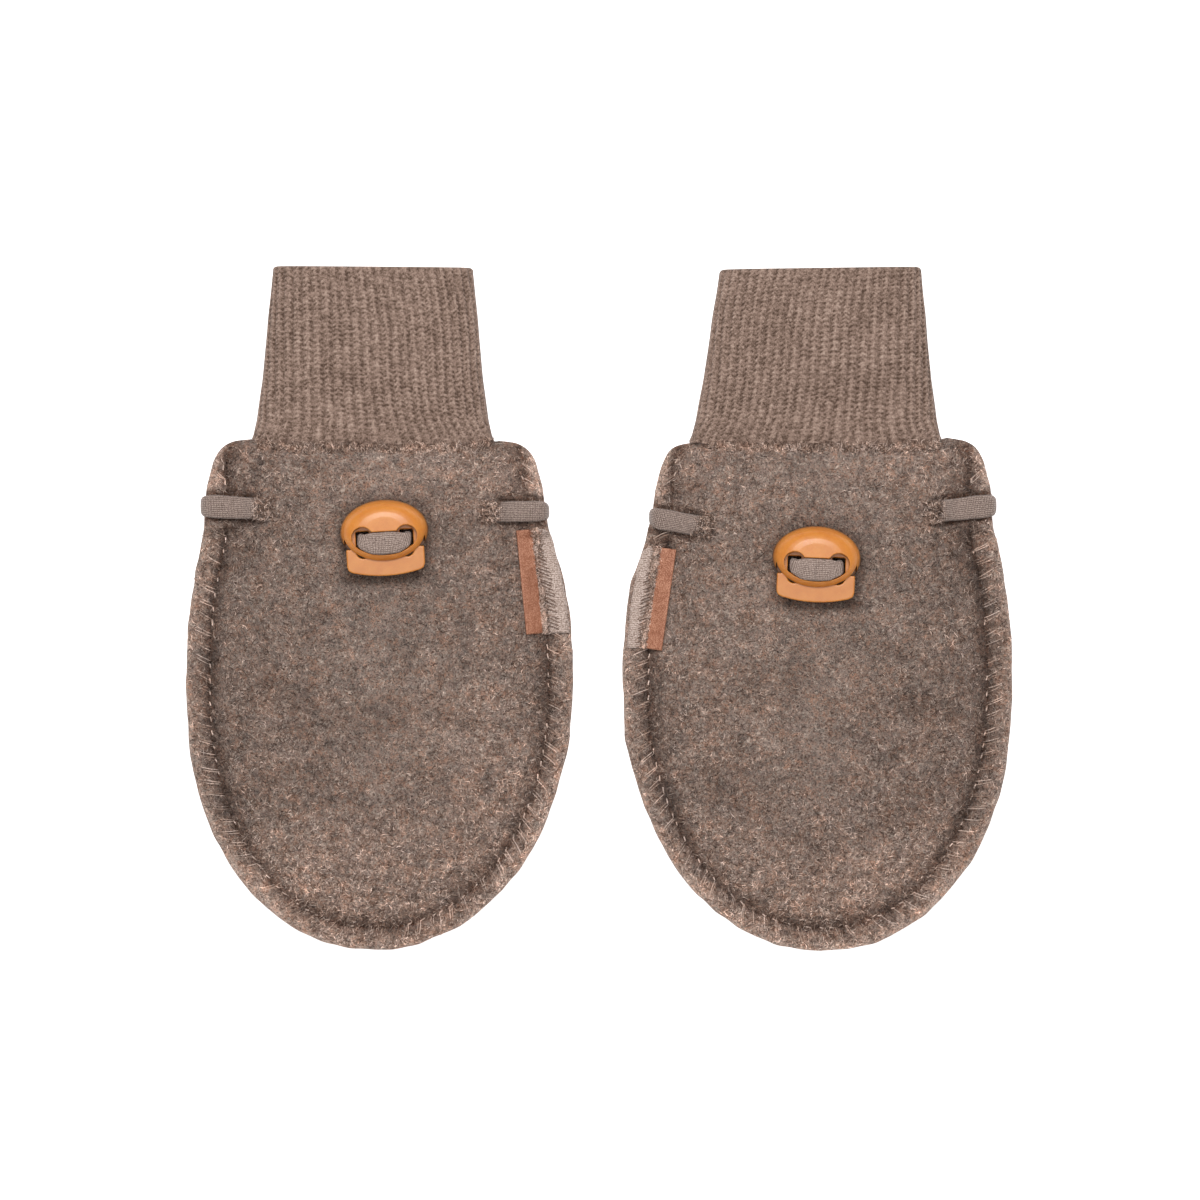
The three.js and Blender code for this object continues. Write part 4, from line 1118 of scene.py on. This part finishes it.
def fibres_over_seam(cloth, rng):
    """Fibres that reach from the wool's upper edge over the foot of the ribs"""
    x = lean(NECK_Y) + rng.uniform(-0.95, 0.95, NECK_FIBRES) * NECK_HALF
    y = NECK_Y + cloth.neck_shift(x, np.full(NECK_FIBRES, NECK_Y)) - rng.uniform(-0.3, 1.2, NECK_FIBRES)
    turn = rng.normal(0, 0.8, NECK_FIBRES)
    length = rng.gamma(4.0, 0.3, NECK_FIBRES) + 0.5
    ahead = np.stack([np.sin(turn), np.cos(turn)], axis=1) * length[:, None]
    curl = rng.normal(0, 0.25, NECK_FIBRES) * length
    aside = np.stack([np.cos(turn), -np.sin(turn)], axis=1) * curl[:, None]
    start = np.stack([x, y], axis=1) - ahead * 0.35
    lift = rng.gamma(2.0, 0.08, NECK_FIBRES)
    points = []
    for plan, rise in ((start, 0.4), (start + ahead / 2 + aside, 0.55 + lift), (start + ahead, 0.35)):
        points.append(np.column_stack([plan, cloth.cuff_top(plan[:, 0]) + rise]))
    return bent(*points)


def fibres_over_holes(cloth, rng):
    """Fuzz over the ends of the drawstring where it goes into the front"""
    found = []
    for strap, direction in ((cloth.mitten["outer"], 1), (cloth.mitten["inner"], -1)):
        edge = direction * float(body_half(strap["hole"])) + float(lean(strap["hole"]))
        x = edge - direction * rng.triangular(8.6, 12.4, 14.2, HOLE_FIBRES)
        y = strap["hole"] + rng.uniform(-2.3, 2.3, HOLE_FIBRES)
        heading = rng.uniform(0, 2 * math.pi, HOLE_FIBRES)
        length = rng.gamma(3.0, 0.3, HOLE_FIBRES) + 0.6
        ahead = np.stack([np.cos(heading), np.sin(heading)], axis=1) * length[:, None]
        start = np.stack([x, y], axis=1) - ahead / 2
        points = []
        for share, rise in ((0, 0.05), (0.5, 0.4), (1, 0.1)):
            plan = start + ahead * share
            over = (STRAP_THICKNESS + STRAP_CLEAR) * ease(np.abs(edge - plan[:, 0]), 13.2, 11.3)
            points.append(np.column_stack([plan, cloth.front_top(plan[:, 0], plan[:, 1]) + over + rise]))
        found.append(bent(*points))
    return np.vstack(found)


def wool_fibres(name, cloth):
    rng = np.random.default_rng(cloth.seed + 50)
    path = np.vstack([
        fibres_on_wool(cloth, rng), fibres_over_seam(cloth, rng), fibres_over_holes(cloth, rng),
    ])
    radius = rng.uniform(0.05, 0.095, len(path))
    tone = np.clip(rng.normal(0.5, 0.28, len(path)), 0, 1)
    x, y = path[:, 1, 0], path[:, 1, 1]
    # Painted light and shade on the fibres: lighter where the wool is made pale, darker where it has painted
    # shade.
    pale = cloth.pale(x, y) - 0.6 * cloth.hollow(x, y)
    return spindles(name, cloth.mitten["side"], path, radius, tone, pale)


def overlock(name, cloth):
    """Pairs of slanted threads over the edge, sunk unevenly into the wool, and short ones in the groove"""
    mitten = cloth.mitten
    rng = np.random.default_rng(mitten["seed"] + 30)
    tape_top = mitten["label"]["top"][1] + 0.5
    tape_foot = mitten["label"]["foot"][1] - 0.3
    t = np.linspace(0, 1, 10)
    paths = []
    tones = []

    def lay(s, inset, lift, tone, tail=None):
        place, shift = cloth.at(s, inset)
        z = cloth.front_top(place[:, 0], place[:, 1]) + lift
        path = np.column_stack([place + shift, z])
        if tail is not None:
            rim, _ = cloth.at(np.full(3, s[-1]), np.array([0.05, 0.0, 0.15]))
            path = np.vstack([path, np.column_stack([rim + shift[-1], tail])])
        paths.append(path)
        tones.append(tone)

    for middle in np.arange(OVERLOCK_START, cloth.along[-1] - OVERLOCK_START, OVERLOCK_PITCH):
        middle += rng.normal(0, 0.22)
        y_here = float(np.interp(middle, cloth.along, cloth.edge[:, 1]))
        x_here = float(np.interp(middle, cloth.along, cloth.edge[:, 0]))
        allowance = float(cloth.allowance(y_here))
        strap = mitten["outer"] if x_here > 0 else mitten["inner"]
        if abs(y_here - strap["edge"]) < 4.2:
            continue
        on_tape = x_here < 0 and tape_foot < y_here < tape_top
        for twin in (-1.1, -0.35, 0.35, 1.1) if on_tape else (-0.3, 0.3):
            slant = OVERLOCK_SLANT * rng.uniform(0.8, 1.2)
            bow = 0.25 * np.sin(math.pi * t) * rng.uniform(0.3, 1.3)
            buried = 0.22 * ease(t, 0.5, 0.75) + 0.12 * rng.uniform(-0.4, 1)
            lift = 0.05 + 0.07 * np.sin(2 * math.pi * np.clip(t * 1.6, 0, 1) / 2) - buried
            if on_tape:
                lift = 0.95 - 0.9 * ease(t, rng.uniform(0.3, 0.5), 0.65)
            # The threads over the tape are real, and their dark tone is painted shadow of the stitches on the
            # tape.
            tone = rng.uniform(0.0, 0.25) if on_tape else rng.uniform(0.35, 0.95)
            lay(middle + twin - slant * (t - 0.5) + bow, (allowance + 0.2) * (1 - t),
                lift, tone, RIM_HEIGHTS)
        if rng.uniform() < 0.75 and not on_tape:
            along = middle + OVERLOCK_SLANT / 2 + rng.normal(0, 0.2) + rng.uniform(0.8, 1.3) * t
            lift = 0.1 + 0.14 * np.sin(math.pi * t)
            for step in (0, 0.1):
                lay(along, allowance + step + 0.2 * t, lift, rng.uniform(0.75, 1))
    return tubes(name, mitten["side"], paths, THREAD_RADIUS, tones)


def label_fringe(name, cloth):
    """Torn pale fibres over the label's outer long edge and the gap beside it"""
    mitten = cloth.mitten
    rng = np.random.default_rng(mitten["seed"] + 40)
    outer, inner, _, _ = label_lines(mitten)
    row = rng.integers(0, len(outer), FRINGE_FIBRES)
    toward = (inner - outer)[row] / LABEL_WIDTH
    start = outer[row] + toward * rng.normal(-0.35, 0.42, FRINGE_FIBRES)[:, None]
    heading = rng.uniform(0, 2 * math.pi, FRINGE_FIBRES)
    length = rng.uniform(0.5, 1.5, FRINGE_FIBRES)
    ahead = np.stack([np.cos(heading), np.sin(heading)], axis=1)
    curl = rng.normal(0, 0.2, FRINGE_FIBRES) * length
    aside = np.stack([-ahead[:, 1], ahead[:, 0]], axis=1) * curl[:, None]
    top = cloth.front_top(outer[row, 0], outer[row, 1]) + LABEL_THICKNESS + 0.05
    lift = rng.uniform(0, 0.15, FRINGE_FIBRES)
    points = []
    for share, bow, rise in ((-0.5, 0, 0), (0, 1, 0.2), (0.5, 0, 0)):
        plan = start + ahead * (share * length)[:, None] + aside * bow
        points.append(np.column_stack([plan, top + rise + lift]))
    tone = rng.uniform(0.05, 1, FRINGE_FIBRES)
    pale = np.full(FRINGE_FIBRES, 0.1)
    return spindles(name, mitten["side"], bent(*points), rng.uniform(0.05, 0.1, FRINGE_FIBRES), tone, pale)


class Finish:
    """A node material. Coordinates are in millimetres of the pair's own frame."""

    def __init__(self, name, roughness, **sockets):
        self.material = bpy.data.materials.new(name)
        self.material.use_nodes = True
        self.tree = self.material.node_tree
        self.shader = self.tree.nodes["Principled BSDF"]
        self.shader.inputs["Roughness"].default_value = roughness
        for key, value in sockets.items():
            self.shader.inputs[key.replace("_", " ")].default_value = value
        place = self.node("ShaderNodeTexCoord")
        self.place = self.scaled(place.outputs["Object"], (1000, 1000, 1000))

    def node(self, kind, inputs=(), **settings):
        """A node with its settings, and with sockets given by name or number"""
        made = self.tree.nodes.new(kind)
        for key, value in settings.items():
            setattr(made, key, value)
        for key, value in dict(inputs).items():
            if isinstance(value, bpy.types.NodeSocket):
                self.tree.links.new(value, made.inputs[key])
            else:
                made.inputs[key].default_value = value
        return made

    def scaled(self, vector, scale, turn=0.0):
        turned = {"Vector": vector, "Rotation": (0, 0, math.radians(turn))}
        first = self.node("ShaderNodeMapping", turned)
        return self.node("ShaderNodeMapping", {"Vector": first.outputs[0], "Scale": scale}).outputs[0]

    def noise(self, vector, scale, detail=2.0, roughness=0.5):
        inputs = {"Vector": vector, "Scale": scale, "Detail": detail, "Roughness": roughness}
        return self.node("ShaderNodeTexNoise", inputs)

    def grain(self, vector, scale, detail=2.0, roughness=0.5):
        return self.noise(vector, scale, detail, roughness).outputs[0]

    def ridge(self, vector, scale, width):
        """Thin lines, 1 along their middle, where noise crosses its mean"""
        away = self.math("ABSOLUTE", self.math("SUBTRACT", self.grain(vector, scale, 0.0), 0.5))
        made = self.node("ShaderNodeMapRange", {0: away, 1: 0.0, 2: width, 3: 1.0, 4: 0.0})
        return made.outputs[0]

    def math(self, operation, a, b=0.0, c=0.0):
        return self.node("ShaderNodeMath", {0: a, 1: b, 2: c}, operation=operation).outputs[0]

    def warped(self, vector, scale, amount):
        """Coordinates pushed about by noise"""
        shift = self.noise(vector, scale, 1.0).outputs["Color"]
        centred = self.node("ShaderNodeVectorMath", {0: shift, 1: (0.5, 0.5, 0.5)}, operation="SUBTRACT")
        inputs = {0: centred.outputs[0], 1: (amount, amount, amount), 2: vector}
        return self.node("ShaderNodeVectorMath", inputs, operation="MULTIPLY_ADD").outputs[0]

    def ramp(self, value, stops):
        made = self.node("ShaderNodeValToRGB", {0: value})
        elements = made.color_ramp.elements
        while len(elements) < len(stops):
            elements.new(0.5)
        for element, (place, colour) in zip(elements, stops):
            element.position = place
            element.color = (*colour, 1)
        return made.outputs[0]

    def mix(self, share, a, b, blend="MIX"):
        inputs = {0: share, 6: a, 7: b}
        return self.node("ShaderNodeMix", inputs, data_type="RGBA", blend_type=blend).outputs[2]

    def attribute(self, name):
        return self.node("ShaderNodeAttribute", attribute_name=name).outputs["Fac"]

    def times(self, colour, level):
        """A colour made lighter or darker by a factor"""
        grey = self.node("ShaderNodeCombineColor", {0: level, 1: level, 2: level}).outputs[0]
        return self.mix(1.0, colour, grey, "MULTIPLY")

    def mottled(self, stops):
        """Grey-brown turning to reddish brown in patches"""
        hue = self.grain(self.warped(self.place, 0.4, 2.0), 0.38, 3.0, 0.7)
        return self.ramp(hue, stops)

    def clouded(self, colour):
        """A colour with lighter and darker clouds, and with the painted light and shade that the pale attribute
        carries
        """
        small = self.grain(self.place, 0.6, 3.0, 0.7)
        large = self.grain(self.scaled(self.place, (0.8, 1, 1)), 0.17, 3.0, 0.6)
        clouds = self.math("MULTIPLY_ADD", small, 1.7, self.math("MULTIPLY_ADD", large, 1.0, -0.31))
        return self.times(colour, self.math("MULTIPLY", clouds, self.lighter()))

    def lighter(self):
        # The pale attribute carries painted light, painted shade where it is negative, and paler patches.
        return self.math("ADD", self.attribute("pale"), 1.0)

    def bump(self, height, distance, strength=1.0):
        inputs = {"Height": height, "Distance": distance * MM, "Strength": strength}
        made = self.node("ShaderNodeBump", inputs)
        self.tree.links.new(made.outputs[0], self.shader.inputs["Normal"])

    def colour(self, socket):
        self.tree.links.new(socket, self.shader.inputs["Base Color"])

    def to(self, *pieces):
        for piece in pieces:
            piece.data.materials.clear()
            piece.data.materials.append(self.material)


def srgb(r, g, b):
    """A colour given as on a screen, from 0 to 255, in linear light"""
    def linear(value):
        share = value / 255
        return share / 12.92 if share <= 0.04045 else ((share + 0.055) / 1.055) ** 2.4
    return linear(r), linear(g), linear(b)


def rgba(colour):
    return (*colour, 1.0)


def wool_finish():
    """Boiled wool of mixed grey-brown and reddish fibres, curled and matted, with painted shade in its pinholes
    and hollows and painted light where it is pale
    """
    wool = Finish("felted_wool", 0.95, Sheen_Weight=0.12, Sheen_Roughness=0.5, Specular_IOR_Level=0.1)
    place = wool.place
    curls = []
    for scale, turn, width in ((1.25, 0, 0.07), (1.8, 35, 0.08), (2.4, 80, 0.09)):
        turned = wool.scaled(place, (1, 1, 1), turn)
        line = wool.ridge(wool.warped(turned, 0.9, 1.1), scale, width)
        broken = wool.ramp(wool.grain(turned, scale * 0.55, 1.0), [(0.42, (0, 0, 0)), (0.58, (1, 1, 1))])
        curls.append(wool.math("MULTIPLY", line, broken))
    light = wool.math("MAXIMUM", curls[0], wool.math("MAXIMUM", curls[1], curls[2]))
    fine = wool.grain(wool.warped(place, 2.0, 0.4), 2.9, 2.0, 0.6)
    # Painted shade in the felt's pinholes, where the bump is low.
    pinhole_shade = wool.ramp(fine, [(0.36, (1, 1, 1)), (0.48, (0, 0, 0))])
    stops = [(0.36, srgb(134, 114, 105)), (0.5, srgb(142, 118, 106)), (0.64, srgb(151, 118, 101))]
    mixed = wool.times(wool.mottled(stops), wool.math("MULTIPLY_ADD", fine, 1.6, 0.17))
    mixed = wool.mix(wool.math("MULTIPLY", pinhole_shade, 0.8), mixed, rgba(srgb(60, 45, 38)))
    mixed = wool.mix(wool.math("MULTIPLY", light, 0.75), mixed, rgba(srgb(205, 186, 172)))
    # Painted shade: the hollow attribute multiplies the wool towards a deeper brown.
    hollow = wool.math("MULTIPLY", wool.attribute("hollow"), 0.9)
    wool.colour(wool.clouded(wool.mix(hollow, mixed, rgba(srgb(150, 126, 110)), "MULTIPLY")))
    height = wool.math("MULTIPLY_ADD", light, 0.6, wool.math("MULTIPLY", fine, 1.3))
    wool.bump(wool.math("MULTIPLY_ADD", wool.grain(place, 0.55, 2.0), 1.3, height), 0.40, 1.0)
    return wool


def fibre_finish(name, stops):
    """Single fibres and threads, each with its own tone, and with the painted light and shade of the pale
    attribute
    """
    fibre = Finish(name, 0.7, Specular_IOR_Level=0.2)
    fine = fibre.grain(fibre.place, 3.0)
    tone = fibre.math("MULTIPLY_ADD", fine, 0.4, fibre.math("ADD", fibre.attribute("tone"), -0.2))
    hues = [(0.36, srgb(138, 116, 105)), (0.5, srgb(142, 118, 105)), (0.64, srgb(147, 118, 103))]
    tint = fibre.mix(1.0, fibre.mottled(hues), rgba(FIBRE_LIFT), "MULTIPLY")
    fibre.colour(fibre.clouded(fibre.mix(1.0, fibre.ramp(tone, stops), tint, "MULTIPLY")))
    return fibre


def rib_finish():
    """Cotton rib: matt, with painted shade between the ribs"""
    rib = Finish("rib_knit", 0.9, Sheen_Weight=0.08, Specular_IOR_Level=0.15)
    # The relief attribute carries the knit's painted light and shade.
    relief = rib.attribute("relief")
    fuzz = rib.grain(rib.warped(rib.place, 1.5, 0.5), 3.8, 2.0, 0.65)
    wide = rib.grain(rib.place, 0.12, 2.0)
    tone = rib.math("MULTIPLY_ADD", fuzz, 1.5, rib.math("MULTIPLY", relief, 0.8))
    tone = rib.math("MULTIPLY_ADD", wide, 0.35, tone)
    tone = rib.math("ADD", tone, -1.0)
    rib.colour(rib.ramp(tone, [
        (0.05, srgb(84, 66, 56)), (0.32, srgb(122, 101, 89)),
        (0.62, srgb(155, 131, 118)), (0.95, srgb(188, 165, 151)),
    ]))
    rib.bump(fuzz, 0.16, 0.8)
    return rib


def jersey_finish():
    """Fine jersey of the drawstring"""
    jersey = Finish("jersey_cord", 0.88, Sheen_Weight=0.2, Specular_IOR_Level=0.2)
    thread = jersey.node("ShaderNodeUVMap", uv_map="thread").outputs[0]
    knit = jersey.node("ShaderNodeTexWave", {"Vector": thread, "Scale": 1.05, "Distortion": 1.2, "Detail": 1.0,
                                             "Detail Scale": 1.5}, wave_type="BANDS", bands_direction="X")
    courses = jersey.node("ShaderNodeTexWave", {"Vector": thread, "Scale": 0.75, "Distortion": 1.0, "Detail": 1.0,
                                                "Detail Scale": 2.0}, wave_type="BANDS", bands_direction="Y")
    loops = jersey.math("MULTIPLY", knit.outputs["Fac"], courses.outputs["Fac"])
    fuzz = jersey.grain(jersey.place, 4.6, 2.0, 0.65)
    tone = jersey.math("MULTIPLY_ADD", loops, 0.35, jersey.math("MULTIPLY", fuzz, 0.75))
    plain = jersey.ramp(tone, [
        (0.28, srgb(84, 69, 62)), (0.46, srgb(132, 114, 105)), (0.66, srgb(190, 171, 161)),
    ])
    # Painted light: lighter where the cord lies high over the lock.
    jersey.colour(jersey.times(plain, jersey.lighter()))
    jersey.bump(jersey.math("MULTIPLY_ADD", loops, 0.5, fuzz), 0.12, 0.8)
    return jersey


def plastic_finish():
    """Satin moulded plastic, slightly uneven in colour, with painted shade towards the foot of the lock and,
    through pale, on the button
    """
    plastic = Finish("lock_plastic", 0.36, Specular_IOR_Level=0.6, Subsurface_Weight=0.05)
    plastic.shader.inputs["Subsurface Scale"].default_value = 1.5 * MM
    cloudy = plastic.grain(plastic.place, 0.35, 3.0, 0.6)
    speck = plastic.grain(plastic.place, 5.0, 2.0, 0.6)
    tone = plastic.math("MULTIPLY_ADD", cloudy, 0.6, plastic.math("MULTIPLY", speck, 0.4))
    bright = plastic.ramp(tone, [
        (0.3, srgb(198, 116, 42)), (0.5, srgb(208, 129, 50)), (0.7, srgb(217, 141, 61)),
    ])
    # Painted shade: the plastic darkens towards the lock's foot, next to the wool.
    height = plastic.node("ShaderNodeSeparateXYZ", {0: plastic.place}).outputs[2]
    foot = {0: height, 1: LOCK_BASE + 2.4, 2: LOCK_BASE + 4.1, 3: 0.35, 4: 1.0}
    shaded = plastic.node("ShaderNodeMapRange", foot).outputs[0]
    plastic.colour(plastic.times(bright, plastic.math("MULTIPLY", shaded, plastic.lighter())))
    rough = plastic.ramp(speck, [(0.3, (0.31, 0.31, 0.31)), (0.7, (0.42, 0.42, 0.42))])
    plastic.tree.links.new(rough, plastic.shader.inputs["Roughness"])
    plastic.bump(speck, 0.02, 0.5)
    return plastic


def leather_finish():
    """Brown leather-like strip with a fine grain"""
    leather = Finish("label_leather", 0.62, Specular_IOR_Level=0.35)
    grain = leather.node("ShaderNodeTexVoronoi", {"Vector": leather.place, "Scale": 3.2}).outputs["Distance"]
    cloudy = leather.grain(leather.place, 0.6, 3.0, 0.6)
    speck = leather.grain(leather.place, 5.0, 1.0)
    tone = leather.math("MULTIPLY_ADD", speck, 0.9, leather.math("MULTIPLY", cloudy, 0.4))
    leather.colour(leather.ramp(tone, [
        (0.45, srgb(129, 79, 57)), (0.62, srgb(160, 104, 79)), (0.82, srgb(197, 144, 117)),
    ]))
    leather.bump(leather.math("MULTIPLY_ADD", grain, 0.6, speck), 0.06, 0.8)
    return leather


def tape_finish():
    """Pale twill tape, its weft across"""
    tape = Finish("woven_tape", 0.85, Sheen_Weight=0.2, Specular_IOR_Level=0.2)
    thread = tape.node("ShaderNodeUVMap", uv_map="thread").outputs[0]
    weft = tape.node("ShaderNodeTexWave", {"Vector": thread, "Scale": 0.75, "Distortion": 3.0, "Detail": 1.0,
                                           "Detail Scale": 2.0}, wave_type="BANDS", bands_direction="X")
    fuzz = tape.grain(tape.place, 3.5, 2.0, 0.6)
    tone = tape.math("MULTIPLY_ADD", weft.outputs["Fac"], 0.16, tape.math("MULTIPLY", fuzz, 0.95))
    tape.colour(tape.ramp(tone, [
        (0.32, srgb(106, 87, 77)), (0.52, srgb(168, 147, 136)), (0.75, srgb(219, 201, 191)),
    ]))
    tape.bump(tone, 0.12, 0.8)
    return tape


def make_mitten(mitten, finishes):
    """All of the pieces of one mitten, each riding on its body"""
    cloth = Cloth(mitten)
    name = mitten["name"]
    front_faces = (cloth.front_top, cloth.front_underside)
    front = panel(name + "_front_wool", cloth, front_faces, ("shown", "hidden"), True)
    back_faces = (cloth.back_top, cloth.back_underside)
    back = panel(name + "_back_wool", cloth, back_faces, ("hidden", "resting"), False)
    knit = cuff(mitten)
    cord = drawstring(mitten, cloth)
    body = lock_body(mitten)
    button = lock_button(mitten)
    outer, inner, tape_outer, tape_inner = label_lines(mitten)
    label = strip(name + "_bare_label", mitten, cloth, outer, inner, LABEL_THICKNESS, 0.05)
    tape = strip(name + "_tape", mitten, cloth, tape_outer, tape_inner, TAPE_THICKNESS, 0.1)
    fibres = wool_fibres(name + "_wool_fibres", cloth)
    threads = overlock(name + "_overlock_threads", cloth)
    fringe = label_fringe(name + "_label_fringe", cloth)

    finishes["wool"].to(front, back)
    finishes["rib"].to(knit)
    finishes["jersey"].to(cord)
    finishes["plastic"].to(body, button)
    finishes["leather"].to(label)
    finishes["tape"].to(tape)
    finishes["fibre"].to(fibres)
    finishes["pale"].to(threads, fringe)

    riders = [
        (front, "mittens", "front_panel", "wool_felt"), (back, "mittens", "back_panel", "wool_felt"),
        (knit, "mittens", "cuff", "rib_knit"), (cord, "mittens", "drawstring", "jersey_cord"),
        (body, "mittens", "lock_body", "lock_plastic"), (label, "mittens", "label", "label_leather"),
        (tape, "mittens", "label_tape", "woven_tape"),
        (button, name + "_button", "lock_button", "lock_plastic"),
        (fibres, "mittens", None, "wool_felt"),
        (threads, "mittens", None, None), (fringe, "mittens", None, None),
    ]
    for piece, carrier, node, slot in riders:
        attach(piece, carrier)
        if node:
            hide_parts(name + "_" + node)


def make_stage():
    """A white floor that stays white under the mittens, soft light and the camera"""
    floor = bpy.data.objects.new("floor", bpy.data.meshes.new("floor"))
    size = 3.0
    corners = [(-size, -size, 0), (size, -size, 0), (size, size, 0), (-size, size, 0)]
    floor.data.from_pydata(corners, [], [(0, 1, 2, 3)])
    bpy.context.scene.collection.objects.link(floor)
    floor.location.z = -0.0002
    white = Finish("studio_floor", 0.9)
    white.shader.inputs["Base Color"].default_value = (0.9, 0.9, 0.9, 1)
    white.shader.inputs["Emission Color"].default_value = (1, 1, 1, 1)
    white.shader.inputs["Emission Strength"].default_value = 0.8
    white.to(floor)

    world = bpy.data.worlds.new("studio")
    bpy.context.scene.world = world
    world.use_nodes = True
    world.node_tree.nodes["Background"].inputs["Color"].default_value = (1, 0.99, 0.975, 1)
    world.node_tree.nodes["Background"].inputs["Strength"].default_value = 0.26

    for name, place, size, power in (
        ("soft_key", (-0.05, 0.46, 0.95), (0.55, 0.30), 6.5),
        ("overhead", (0.0, 0.0, 1.45), (1.2, 1.2), 9.5),
    ):
        light = bpy.data.lights.new(name, "AREA")
        light.shape = "RECTANGLE"
        light.size, light.size_y = size
        light.energy = power
        lamp = bpy.data.objects.new(name, light)
        lamp.location = place
        lamp.rotation_euler = (-Vector(place)).to_track_quat("-Z", "Y").to_euler()
        bpy.context.scene.collection.objects.link(lamp)

    camera = bpy.data.objects.new("camera", bpy.data.cameras.new("camera"))
    camera.location = (PHOTO_CENTRE[0] * MM, PHOTO_CENTRE[1] * MM, (CAMERA_DISTANCE + PLATEAU_TOP / 2) * MM)
    camera.data.sensor_width = CAMERA_SENSOR
    camera.data.lens = CAMERA_SENSOR * CAMERA_DISTANCE / PHOTO_WIDTH
    bpy.context.scene.collection.objects.link(camera)
    bpy.context.scene.camera = camera
    bpy.context.scene.view_settings.view_transform = "Standard"


finishes = {
    "wool": wool_finish(),
    "rib": rib_finish(),
    "jersey": jersey_finish(),
    "plastic": plastic_finish(),
    "leather": leather_finish(),
    "tape": tape_finish(),
    "fibre": fibre_finish("wool_fibre", [
        (0.0, srgb(66, 52, 44)), (0.3, srgb(108, 90, 78)),
        (0.6, srgb(158, 138, 125)), (1.0, srgb(232, 215, 202)),
    ]),
    "pale": fibre_finish("pale_thread", [
        (0.0, srgb(98, 80, 70)), (0.5, srgb(162, 143, 130)), (1.0, srgb(228, 212, 200)),
    ]),
}
make_stage()
for mitten in MITTENS:
    make_mitten(mitten, finishes)
